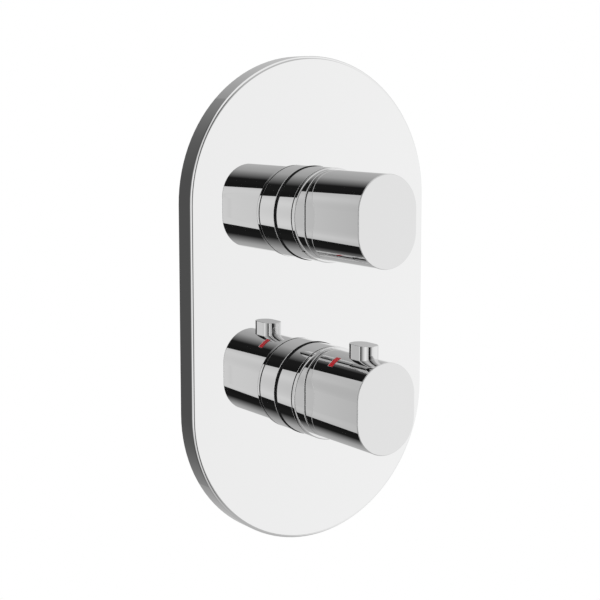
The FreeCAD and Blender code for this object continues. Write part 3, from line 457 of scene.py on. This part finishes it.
def woven_strainer(colour):
    """Stainless gauze across an inlet: round wires, with painted shade in the holes between them, drawn
    coarser than it is to show.
    """
    material, tree, place = new_material("Woven stainless gauze")
    wires = [
        add_node(
            tree,
            "ShaderNodeTexWave",
            {"Vector": place, "Scale": lines_per_mm(0.9)},
            bands_direction=axis,
        ).outputs["Fac"]
        for axis in "YZ"
    ]
    height = add_node(tree, "ShaderNodeMath", {0: wires[0], 1: wires[1]}, operation="MAXIMUM").outputs[0]
    solid = add_node(
        tree,
        "ShaderNodeMapRange",
        {"Value": height, "From Min": 0.45, "From Max": 0.65},
        interpolation_type="SMOOTHSTEP",
    ).outputs["Result"]
    # Painted shade: between the wires the colour drops to near-black, for the shade seen through the
    # holes
    tone = add_node(
        tree,
        "ShaderNodeMix",
        {"Factor": solid, "A": opaque(colour, 0.03), "B": opaque(colour)},
        data_type="RGBA",
    )
    gloss = add_node(tree, "ShaderNodeMapRange", {"Value": solid, "To Min": 0.8, "To Max": 0.3})
    relief = add_node(tree, "ShaderNodeBump", {"Height": height, "Strength": 0.8, "Distance": 0.2 * MM})
    return finished(material, {
        "Base Color": tone.outputs["Result"],
        "Metallic": 1.0,
        "Roughness": gloss.outputs["Result"],
        "Normal": relief.outputs["Normal"],
    })


def galvanised_steel(colour):
    """Hot-dipped zinc: a patchwork of frosted crystals, each with its own shade and gloss."""
    material, tree, place = new_material("Hot-dip galvanised steel")
    wander = 2 * MM
    edge_wander = add_node(
        tree, "ShaderNodeTexNoise", {"Vector": place, "Scale": per_mm(3), "Detail": 3.0}
    )
    wandering = add_node(
        tree,
        "ShaderNodeVectorMath",
        {0: edge_wander.outputs["Color"], 1: (wander, wander, wander), 2: place},
        operation="MULTIPLY_ADD",
    )
    spangle = add_node(
        tree, "ShaderNodeTexVoronoi", {"Vector": wandering.outputs["Vector"], "Scale": per_mm(7)}
    )
    crystal = add_node(tree, "ShaderNodeSeparateColor", {"Color": spangle.outputs["Color"]}).outputs
    frost = add_node(tree, "ShaderNodeTexNoise", {"Vector": place, "Scale": per_mm(0.6), "Detail": 4.0})
    tone = add_node(
        tree,
        "ShaderNodeMix",
        {"Factor": crystal["Red"], "A": opaque(colour, 0.62), "B": opaque(colour)},
        data_type="RGBA",
    )
    gloss = add_node(
        tree, "ShaderNodeMapRange", {"Value": crystal["Green"], "To Min": 0.28, "To Max": 0.5}
    )
    relief = add_node(
        tree, "ShaderNodeBump", {"Height": frost.outputs["Fac"], "Strength": 0.25, "Distance": 0.05 * MM}
    )
    return finished(material, {
        "Base Color": tone.outputs["Result"],
        "Metallic": 1.0,
        "Roughness": gloss.outputs["Result"],
        "Normal": relief.outputs["Normal"],
    })


def moulded_plastic(colour):
    """Glass-filled plastic: satin grey, spark-eroded tooth from the mould and faint pale flow lines."""
    material, tree, place = new_material("Glass-filled moulded plastic")
    flow = add_node(
        tree,
        "ShaderNodeTexNoise",
        {"Vector": place, "Scale": per_mm(9), "Detail": 4.0, "Distortion": 1.5},
    )
    tone = add_node(
        tree,
        "ShaderNodeMix",
        {"Factor": flow.outputs["Fac"], "A": opaque(colour, 0.8), "B": opaque(colour, 1.2)},
        data_type="RGBA",
    )
    tooth = add_node(tree, "ShaderNodeTexNoise", {"Vector": place, "Scale": per_mm(0.2), "Detail": 2.0})
    satin = add_node(
        tree, "ShaderNodeMapRange", {"Value": tooth.outputs["Fac"], "To Min": 0.38, "To Max": 0.55}
    )
    relief = add_node(
        tree, "ShaderNodeBump", {"Height": tooth.outputs["Fac"], "Strength": 0.3, "Distance": 0.03 * MM}
    )
    return finished(material, {
        "Base Color": tone.outputs["Result"],
        "IOR": 1.48,
        "Roughness": satin.outputs["Result"],
        "Normal": relief.outputs["Normal"],
    })


def lapped_alumina(colour):
    """Sintered alumina, lapped flat: dense off-white with fine grey pores and a soft shine."""
    material, tree, place = new_material("Lapped alumina")
    pores = add_node(tree, "ShaderNodeTexNoise", {"Vector": place, "Scale": per_mm(0.3), "Detail": 4.0})
    tone = add_node(
        tree,
        "ShaderNodeMix",
        {"Factor": pores.outputs["Fac"], "A": opaque(colour, 0.85), "B": opaque(colour)},
        data_type="RGBA",
    )
    gloss = add_node(
        tree, "ShaderNodeMapRange", {"Value": pores.outputs["Fac"], "To Min": 0.16, "To Max": 0.3}
    )
    return finished(material, {
        "Base Color": tone.outputs["Result"],
        "IOR": 1.76,
        "Roughness": gloss.outputs["Result"],
    })


def dress(material, *nodes):
    """Give CAD nodes their finish."""
    for name in nodes:
        slots = frame["nodes"][name].data.materials
        slots.clear()
        slots.append(material)


def mesh_piece(name, points, faces, material):
    """A piece of the scene with one material."""
    mesh = bpy.data.meshes.new(name)
    mesh.from_pydata(points, [], faces)
    mesh.materials.append(material)
    piece = bpy.data.objects.new(name, mesh)
    bpy.context.scene.collection.objects.link(piece)
    return piece


def swept_along(name, rings, material, endless=False):
    """A smooth skin over rings of as many points each, capped at both ends or joined into a loop."""
    sides = len(rings[0])
    points = [point for ring in rings for point in ring]
    faces = []
    if not endless:
        last = len(points) - sides
        faces += [list(reversed(range(sides))), [last + side for side in range(sides)]]
    for number in range(len(rings) if endless else len(rings) - 1):
        here = number * sides
        after = (number + 1) % len(rings) * sides
        for side in range(sides):
            beside = (side + 1) % sides
            faces.append([here + side, here + beside, after + beside, after + side])
    piece = mesh_piece(name, points, faces, material)
    piece.data.shade_smooth()
    return piece


def round_axis(axis, turn):
    """The direction square to an axis, this many radians round it."""
    across = Vector((0, 0, 1)) if abs(axis.z) < 0.5 else Vector((1, 0, 0))
    return across * math.cos(turn) + axis.cross(across) * math.sin(turn)


def squeezed_seal(node, width, bulge, material):
    """A rubber ring between two flat faces, with its outer edge swollen round by the squeeze."""
    low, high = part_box(node)
    centre = (low + high) / 2
    half_thickness = (high.y - low.y) / 2
    outer = (high.x - low.x) / 2
    inner = outer - width
    steps_round, steps_across = 128, 8
    profile = [(inner, half_thickness), (inner, -half_thickness)]
    for step in range(steps_across + 1):
        angle = (step / steps_across - 0.5) * math.pi
        profile.append((outer + bulge * math.cos(angle), half_thickness * math.sin(angle)))
    rings = []
    for step in range(steps_round):
        turn = step / steps_round * math.tau
        rings.append([
            centre + Vector((radius * math.cos(turn), along, radius * math.sin(turn)))
            for radius, along in profile
        ])
    ring = swept_along(f"{node}_ring", rings, material, endless=True)
    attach(ring, "fixed")
    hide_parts(node)


def coil_spring(node, axis_name, wire, turns, material):
    """A round wire wound in the space that the node holds, with its first and last turns closed."""
    low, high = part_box(node)
    number = AXES[axis_name]
    axis = Vector([float(i == number) for i in range(3)])
    centre = (low + high) / 2
    length = high[number] - low[number]
    widest = max(high[i] - low[i] for i in range(3) if i != number)
    radius = (widest - wire) / 2
    closed_pitch = wire * 1.04
    open_pitch = (length - wire - 2 * closed_pitch) / (turns - 2)
    steps_a_turn, sides = 32, 12
    rings = []
    for step in range(turns * steps_a_turn + 1):
        turned = step / steps_a_turn
        open_turns = min(max(turned - 1, 0), turns - 2)
        climb = closed_pitch * (turned - open_turns) + open_pitch * open_turns
        outward = round_axis(axis, turned * math.tau)
        heart = centre + axis * (wire / 2 + climb - length / 2) + outward * radius
        rings.append([
            heart + (outward * math.cos(a) - axis * math.sin(a)) * (wire / 2)
            for a in (side / sides * math.tau for side in range(sides))
        ])
    spring = swept_along(f"{node}_coil", rings, material)
    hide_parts(node)
    return spring


def port_thread(port, pitch, crest, material):
    """The helical ridge of a pipe thread, which fades out at both ends of the bore."""
    mount = MOUNTS[port]
    axis = Vector(mount["axis"])
    centre = Vector(mount["pos_m"])
    bore = mount["dims"]["r_mm"] * MM
    length = mount["dims"]["length_mm"] * MM - 2 * pitch
    steps_a_turn, fade_turns, least_fade = 48, 0.5, 0.02
    half_foot, half_tip, sunk = pitch * 0.42, pitch * 0.08, 0.05 * MM
    steps = round(length / pitch * steps_a_turn)
    rings = []
    for step in range(steps + 1):
        turned, left = step / steps_a_turn, (steps - step) / steps_a_turn
        outward = round_axis(axis, turned * math.tau)
        height = crest * max(min(1, turned / fade_turns, left / fade_turns), least_fade)
        heart = centre + axis * (step / steps * length - length / 2)
        profile = ((-half_foot, -sunk), (-half_tip, height), (half_tip, height), (half_foot, -sunk))
        rings.append([heart + axis * along + outward * (bore - inward) for along, inward in profile])
    ridge = swept_along(f"{port}_thread", rings, material)
    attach(ridge, "fixed")


class MIXER_OT_cover_plate(bpy.types.Operator):
    """Finish the cover plate and the gasket behind its rim"""

    bl_idname = "mixer.cover_plate"
    bl_label = "Cover plate"

    def execute(self, context):
        finish = context.scene.mixer_finish
        dress(polished_chrome("Chrome-plated brass sheet", finish.plate_chrome), "cover_plate")
        dress(epdm_rubber(finish.rubber), "plate_gasket")
        return {"FINISHED"}


class MIXER_OT_knobs(bpy.types.Operator):
    """Finish collars, handles, safety button and red mark, and swell the seals behind the collars"""

    bl_idname = "mixer.knobs"
    bl_label = "Collars and knobs"

    def execute(self, context):
        finish = context.scene.mixer_finish
        fine = context.scene.mixer_fine_parts
        chrome = polished_chrome("Chrome-plated turned brass", finish.knob_chrome, fine.knob_round)
        dress(chrome, "flow_handle", "temperature_handle", "safety_button")
        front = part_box("upper_collar")[0].y
        # Painted shade: a near-black band at this place along Y and of this width, in and beside each
        # collar's groove
        groove = (front + fine.groove_setback + fine.groove_shade_width / 2, fine.groove_shade_width)
        grooved = polished_chrome(
            "Chrome-plated grooved brass", finish.collar_chrome, fine.groove_round, groove
        )
        dress(grooved, "upper_collar", "lower_collar")
        rubber = epdm_rubber(finish.rubber)
        for seal in ("upper_collar_seal", "lower_collar_seal"):
            squeezed_seal(seal, fine.seal_width, fine.seal_bulge, rubber)
        dress(red_enamel(finish.red_mark), "temperature_mark")
        return {"FINISHED"}


class MIXER_OT_knob_insides(bpy.types.Operator):
    """Finish what is inside the handles and wind the spring under the safety button"""

    bl_idname = "mixer.knob_insides"
    bl_label = "Inside the knobs"

    def execute(self, context):
        finish = context.scene.mixer_finish
        fine = context.scene.mixer_fine_parts
        dress(moulded_plastic(finish.plastic), "flow_insert", "temperature_insert", "stop_ring")
        steel = turned_metal("Turned stainless steel", finish.steel, "Z", 0.3)
        dress(steel, "flow_grub_screw", "temperature_grub_screw")
        spring = coil_spring(
            "button_spring", "Z", fine.button_wire, fine.button_turns, drawn_wire(finish.steel)
        )
        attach(spring, "temperature_knob")
        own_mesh(spring)
        return {"FINISHED"}


class MIXER_OT_valve_body(bpy.types.Operator):
    """Finish the cast body and the two sleeves, and cut threads in the four ports"""

    bl_idname = "mixer.valve_body"
    bl_label = "Valve body"

    def execute(self, context):
        finish = context.scene.mixer_finish
        fine = context.scene.mixer_fine_parts
        dress(sand_cast_brass(finish.cast_brass, finish.turned_brass), "valve_body")
        turned = turned_metal("Turned brass", finish.turned_brass, "Y", 0.5)
        dress(turned, "upper_sleeve", "lower_sleeve")
        for port in PORTS:
            port_thread(port, fine.thread_pitch, fine.thread_crest, turned)
        return {"FINISHED"}


class MIXER_OT_bracket(bpy.types.Operator):
    """Finish the bracket that holds the body in the wall, and its screws"""

    bl_idname = "mixer.bracket"
    bl_label = "Wall bracket"

    def execute(self, context):
        finish = context.scene.mixer_finish
        dress(galvanised_steel(finish.zinc), "wall_bracket")
        dress(turned_metal("Turned stainless steel", finish.steel, "Y", 0.3), "bracket_screws")
        return {"FINISHED"}


class MIXER_OT_flow_cartridge(bpy.types.Operator):
    """Finish the ceramic cartridge that opens one outlet or the other"""

    bl_idname = "mixer.flow_cartridge"
    bl_label = "Flow cartridge"

    def execute(self, context):
        finish = context.scene.mixer_finish
        dress(moulded_plastic(finish.plastic), "flow_housing")
        dress(turned_metal("Turned brass", finish.turned_brass, "Y", 0.4), "flow_nut", "flow_spindle")
        dress(epdm_rubber(finish.rubber), "flow_spindle_oring", "flow_disc_seal")
        dress(lapped_alumina(finish.ceramic), "flow_fixed_disc", "flow_moving_disc")
        return {"FINISHED"}


class MIXER_OT_thermostat(bpy.types.Operator):
    """Finish the thermostatic cartridge and wind its two springs"""

    bl_idname = "mixer.thermostat"
    bl_label = "Thermostat"

    def execute(self, context):
        finish = context.scene.mixer_finish
        fine = context.scene.mixer_fine_parts
        dress(moulded_plastic(finish.plastic), "thermostat_housing", "thermostat_end_cap", "shuttle")
        brass = turned_metal("Turned brass", finish.turned_brass, "Y", 0.4)
        dress(brass, "thermostat_nut", "temperature_spindle", "regulating_screw")
        dress(epdm_rubber(finish.rubber), "thermostat_orings", "temperature_spindle_oring")
        dress(turned_metal("Drawn copper", finish.copper, "Y", 0.8), "wax_element")
        wire = drawn_wire(finish.steel)
        overload = coil_spring("overload_spring", "Y", fine.thermostat_wire, fine.overload_turns, wire)
        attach(overload, "regulator")
        back = coil_spring("return_spring", "Y", fine.thermostat_wire, fine.return_turns, wire)
        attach(back, "fixed")
        return {"FINISHED"}


class MIXER_OT_check_valves(bpy.types.Operator):
    """Finish the check valve and strainer in each inlet and wind their springs"""

    bl_idname = "mixer.check_valves"
    bl_label = "Check valves"

    def execute(self, context):
        finish = context.scene.mixer_finish
        fine = context.scene.mixer_fine_parts
        plastic = moulded_plastic(finish.plastic)
        wire = drawn_wire(finish.steel)
        gauze = woven_strainer(finish.steel)
        for side, seat in (("hot", 1), ("cold", 0)):
            node = f"{side}_check_spring"
            dress(plastic, f"{side}_check_cage", f"{side}_check_poppet")
            dress(gauze, f"{side}_filter")
            spring = coil_spring(node, "X", fine.check_wire, fine.check_turns, wire)
            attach(spring, "fixed")
            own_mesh(spring)
        return {"FINISHED"}


# Brightness of the tent by azimuth in degrees: 0 is straight out of the wall, 90 to its right
TENT = (
    (-180, 0.32),
    (-150, 0.08),
    (-140, 0.1),
    (-124, 0.09),
    (-109, 0.13),
    (-96, 0.4),
    (-84, 0.66),
    (-62, 1.0),
    (-50, 1.0),
    (-39, 0.63),
    (-33, 0.87),
    (-31.5, 0.88),
    (-30.6, 0.014),
    (-13, 0.014),
    (12, 0.46),
    (28, 0.55),
    (36, 0.56),
    (46, 0.95),
    (100, 0.95),
    (120, 0.6),
    (150, 0.54),
    (180, 0.32),
)
# Edges in the tent: what is measured, its two ends in degrees, the values there, and the slope
TENT_EDGES = {
    "whole_turn": ("azimuth", -180, 180, 0.0, 1.0, "LINEAR"),
    "card_side": ("azimuth", -28.18, -28.3, 0.0, 1.0, "LINEAR"),
    "beside_card": ("azimuth", -33.5, -32, 0.0, 0.88, "SMOOTHSTEP"),
    "left_of_card": ("azimuth", -20, -26, 0.0, 1.0, "SMOOTHSTEP"),
    "fall_off": ("off_eye_line", 13, 26, 0.0, 0.2, "SMOOTHSTEP"),
    "panel_level": ("azimuth", 28, 44, 0.955, 1.01, "LINEAR"),
    "panel_left": ("azimuth", -13, 18, 0.0, 1.0, "LINEAR"),
    "panel_right": ("azimuth", 110, 90, 0.0, 1.0, "SMOOTHSTEP"),
    "panel_foot": ("elevation", -24, -19, 0.0, 1.0, "SMOOTHSTEP"),
    "panel_top": ("elevation", 12, 3, 0.0, 1.0, "SMOOTHSTEP"),
    "roof": ("elevation", 42, 60, 0.0, 1.0, "SMOOTHSTEP"),
    "ground": ("elevation", -42, -60, 0.0, 1.0, "SMOOTHSTEP"),
}
# Elevation in degrees of the middle of the bright part left of the card
EYE_LINE = -1.5
ROOF_LEVEL = 0.92
GROUND_LEVEL = 0.5
# Even brightness that lights matt surfaces
MATT_LEVEL = 0.7
# How far the floor is lifted to white where the camera sees it
FLOOR_LIFT = 0.65
# Where the soft lamps stand, in metres
LAMPS = {
    "left_lamp": (-0.9, -1.0, 0.9),
    "right_lamp": (1.1, -0.9, 0.5),
    "back_lamp": (0.5, 1.2, 0.9),
}


def tent_world():
    """A light tent: white to the camera, and to metal soft panels left and right of a black card."""
    world = bpy.data.worlds.new("Light tent")
    world.use_nodes = True
    tree = world.node_tree
    tree.nodes.clear()
    direction = add_node(tree, "ShaderNodeTexCoord").outputs["Generated"]
    axes = add_node(tree, "ShaderNodeSeparateXYZ", {"Vector": direction}).outputs
    toward = add_node(tree, "ShaderNodeMath", {0: axes["Y"], 1: -1.0}, operation="MULTIPLY").outputs[0]
    turn = add_node(tree, "ShaderNodeMath", {0: axes["X"], 1: toward}, operation="ARCTAN2").outputs[0]
    azimuth = add_node(tree, "ShaderNodeMath", {0: turn}, operation="DEGREES").outputs[0]
    rise = add_node(tree, "ShaderNodeMath", {0: axes["Z"]}, operation="ARCSINE").outputs[0]
    elevation = add_node(tree, "ShaderNodeMath", {0: rise}, operation="DEGREES").outputs[0]
    above_eye_line = add_node(
        tree, "ShaderNodeMath", {0: elevation, 1: EYE_LINE}, operation="SUBTRACT"
    ).outputs[0]
    off_eye_line = add_node(tree, "ShaderNodeMath", {0: above_eye_line}, operation="ABSOLUTE").outputs[0]

    measures = {"azimuth": azimuth, "elevation": elevation, "off_eye_line": off_eye_line}
    edge = {}
    for name, (measure, start, end, first, last, slope) in TENT_EDGES.items():
        inputs = {
            "Value": measures[measure],
            "From Min": start,
            "From Max": end,
            "To Min": first,
            "To Max": last,
        }
        span = add_node(tree, "ShaderNodeMapRange", inputs, interpolation_type=slope)
        edge[name] = span.outputs["Result"]

    ramp = add_node(tree, "ShaderNodeValToRGB", {"Fac": edge["whole_turn"]})
    stops = ramp.color_ramp.elements
    while len(stops) > 1:
        stops.remove(stops[-1])
    stops[0].position = 0.0
    for angle, level in TENT:
        stop = stops[0] if angle == -180 else stops.new((angle + 180) / 360)
        stop.color = (level, level, level, 1.0)

    # The ramp is too coarse for the card's sharp left side, so that is laid over it
    bright_strip = add_node(
        tree, "ShaderNodeMath", {0: edge["card_side"], 1: edge["beside_card"]}, operation="MULTIPLY"
    ).outputs[0]
    around = add_node(
        tree, "ShaderNodeMath", {0: ramp.outputs["Color"], 1: bright_strip}, operation="MAXIMUM"
    ).outputs[0]
    loss = add_node(
        tree, "ShaderNodeMath", {0: edge["fall_off"], 1: edge["left_of_card"]}, operation="MULTIPLY"
    ).outputs[0]
    kept = add_node(tree, "ShaderNodeMath", {0: 1.0, 1: loss}, operation="SUBTRACT").outputs[0]
    around = add_node(tree, "ShaderNodeMath", {0: around, 1: kept}, operation="MULTIPLY").outputs[0]
    panel = edge["panel_level"]
    for side in ("panel_left", "panel_right", "panel_foot", "panel_top"):
        panel = add_node(
            tree, "ShaderNodeMath", {0: panel, 1: edge[side]}, operation="MULTIPLY"
        ).outputs[0]
    tent = add_node(tree, "ShaderNodeMath", {0: panel, 1: around}, operation="MAXIMUM").outputs[0]
    rays = add_node(tree, "ShaderNodeLightPath").outputs
    for share, level in (
        (edge["roof"], ROOF_LEVEL),
        (edge["ground"], GROUND_LEVEL),
        (rays["Is Diffuse Ray"], MATT_LEVEL),
        (rays["Is Camera Ray"], 1.0),
    ):
        tent = add_node(
            tree, "ShaderNodeMix", {0: share, 2: tent, 3: level}, data_type="FLOAT"
        ).outputs[0]
    background = add_node(tree, "ShaderNodeBackground", {"Color": tent, "Strength": 1.0})
    add_node(tree, "ShaderNodeOutputWorld", {"Surface": background.outputs[0]})
    return world


def white_plaster():
    """Plaster lit to plain white, and clear from behind, so that the parts in the wall can be seen."""
    material = bpy.data.materials.new("White plaster")
    material.use_nodes = True
    tree = material.node_tree
    tree.nodes.clear()
    white = add_node(tree, "ShaderNodeEmission", {"Strength": 1.0})
    clear = add_node(tree, "ShaderNodeBsdfTransparent")
    behind = add_node(tree, "ShaderNodeNewGeometry").outputs["Backfacing"]
    either = add_node(tree, "ShaderNodeMixShader", {0: behind, 1: white.outputs[0], 2: clear.outputs[0]})
    add_node(tree, "ShaderNodeOutputMaterial", {"Surface": either.outputs[0]})
    return material


def pale_floor(shade, light):
    """Pale screed, matt and faintly clouded, lifted nearly to white where the camera sees it."""
    material, tree, place = new_material("Pale screed")
    clouds = add_node(tree, "ShaderNodeTexNoise", {"Vector": place, "Scale": per_mm(180), "Detail": 4.0})
    tone = add_node(
        tree,
        "ShaderNodeMix",
        {"Factor": clouds.outputs["Fac"], "A": opaque(shade), "B": opaque(light)},
        data_type="RGBA",
    )
    screed = add_node(
        tree, "ShaderNodeBsdfPrincipled", {"Base Color": tone.outputs["Result"], "Roughness": 0.7}
    )
    seen = add_node(tree, "ShaderNodeLightPath").outputs["Is Camera Ray"]
    lift = add_node(tree, "ShaderNodeMath", {0: seen, 1: FLOOR_LIFT}, operation="MULTIPLY").outputs[0]
    white = add_node(tree, "ShaderNodeEmission", {"Strength": 1.0})
    either = add_node(
        tree, "ShaderNodeMixShader", {0: lift, 1: screed.outputs["BSDF"], 2: white.outputs[0]}
    )
    add_node(tree, "ShaderNodeOutputMaterial", {"Surface": either.outputs[0]})
    return material


def flat_sheet(name, corners, material, hidden_rays):
    """A four-sided sheet of the stage that some kinds of ray pass through."""
    sheet = mesh_piece(name, corners, [list(range(len(corners)))], material)
    for ray in hidden_rays:
        setattr(sheet, f"visible_{ray}", False)


def soft_lamp(name, place, width, power):
    """A square lamp, pointed at the plate, that metal does not mirror."""
    light = bpy.data.lights.new(name, "AREA")
    light.size = width
    light.energy = power
    lamp = bpy.data.objects.new(name, light)
    lamp.location = place
    lamp.rotation_euler = Vector(place).to_track_quat("Z", "Y").to_euler()
    lamp.visible_glossy = False
    bpy.context.scene.collection.objects.link(lamp)


class MIXER_OT_stage(bpy.types.Operator):
    """Set up the camera, the light, the floor and the wall"""

    bl_idname = "mixer.stage"
    bl_label = "Studio"

    def execute(self, context):
        scene = context.scene
        studio = scene.mixer_studio
        scene.view_settings.view_transform = "Standard"
        scene.world = tent_world()
        lens = bpy.data.cameras.new("Camera")
        lens.lens = studio.focal_length
        lens.sensor_width = 36
        lens.shift_y = -studio.camera_drop
        camera = bpy.data.objects.new("Camera", lens)
        camera.location = studio.camera_place
        upright = math.pi / 2 - studio.camera_dip
        camera.rotation_euler = Euler((upright, 0, -studio.camera_heading))
        scene.collection.objects.link(camera)
        scene.camera = camera

        reach, ground = studio.reach, -studio.floor_depth
        wall = [(-reach, 0, ground), (reach, 0, ground), (reach, 0, reach), (-reach, 0, reach)]
        flat_sheet("wall", wall, white_plaster(), ("diffuse", "glossy", "transmission", "shadow"))
        floor = [
            (-reach, -reach, ground),
            (reach, -reach, ground),
            (reach, reach, ground),
            (-reach, reach, ground),
        ]
        screed = pale_floor(studio.floor_shade, studio.floor_light)
        flat_sheet("floor", floor, screed, ("glossy", "transmission"))
        for name, place in LAMPS.items():
            soft_lamp(name, place, studio.lamp_width, studio.lamp_power)
        return {"FINISHED"}


STEPS = (
    MIXER_OT_cover_plate,
    MIXER_OT_knobs,
    MIXER_OT_knob_insides,
    MIXER_OT_valve_body,
    MIXER_OT_bracket,
    MIXER_OT_flow_cartridge,
    MIXER_OT_thermostat,
    MIXER_OT_check_valves,
    MIXER_OT_stage,
)
GROUPS = {
    "mixer_finish": MixerFinish,
    "mixer_fine_parts": MixerFineParts,
    "mixer_studio": MixerStudio,
}


class MIXER_PT_sidebar(bpy.types.Panel):
    """The mixer's sizes, colours and steps"""

    bl_idname = "MIXER_PT_sidebar"
    bl_label = "Mixer valve"
    bl_space_type = "VIEW_3D"
    bl_region_type = "UI"
    bl_category = "Mixer valve"

    def draw(self, context):
        for name in GROUPS:
            group = getattr(context.scene, name)
            box = self.layout.box()
            for prop in group.__annotations__:
                box.prop(group, prop)
        for step in STEPS:
            self.layout.operator(step.bl_idname)


def register():
    for kind in (*GROUPS.values(), *STEPS, MIXER_PT_sidebar):
        bpy.utils.register_class(kind)
    for name, group in GROUPS.items():
        setattr(bpy.types.Scene, name, PointerProperty(type=group))


def unregister():
    for name in GROUPS:
        delattr(bpy.types.Scene, name)
    for kind in (MIXER_PT_sidebar, *reversed(STEPS), *reversed(GROUPS.values())):
        bpy.utils.unregister_class(kind)


def main():
    register()
    bpy.ops.mixer.cover_plate()
    bpy.ops.mixer.knobs()
    bpy.ops.mixer.knob_insides()
    bpy.ops.mixer.valve_body()
    bpy.ops.mixer.bracket()
    bpy.ops.mixer.flow_cartridge()
    bpy.ops.mixer.thermostat()
    bpy.ops.mixer.check_valves()
    bpy.ops.mixer.stage()


if __name__ == "__main__":
    main()
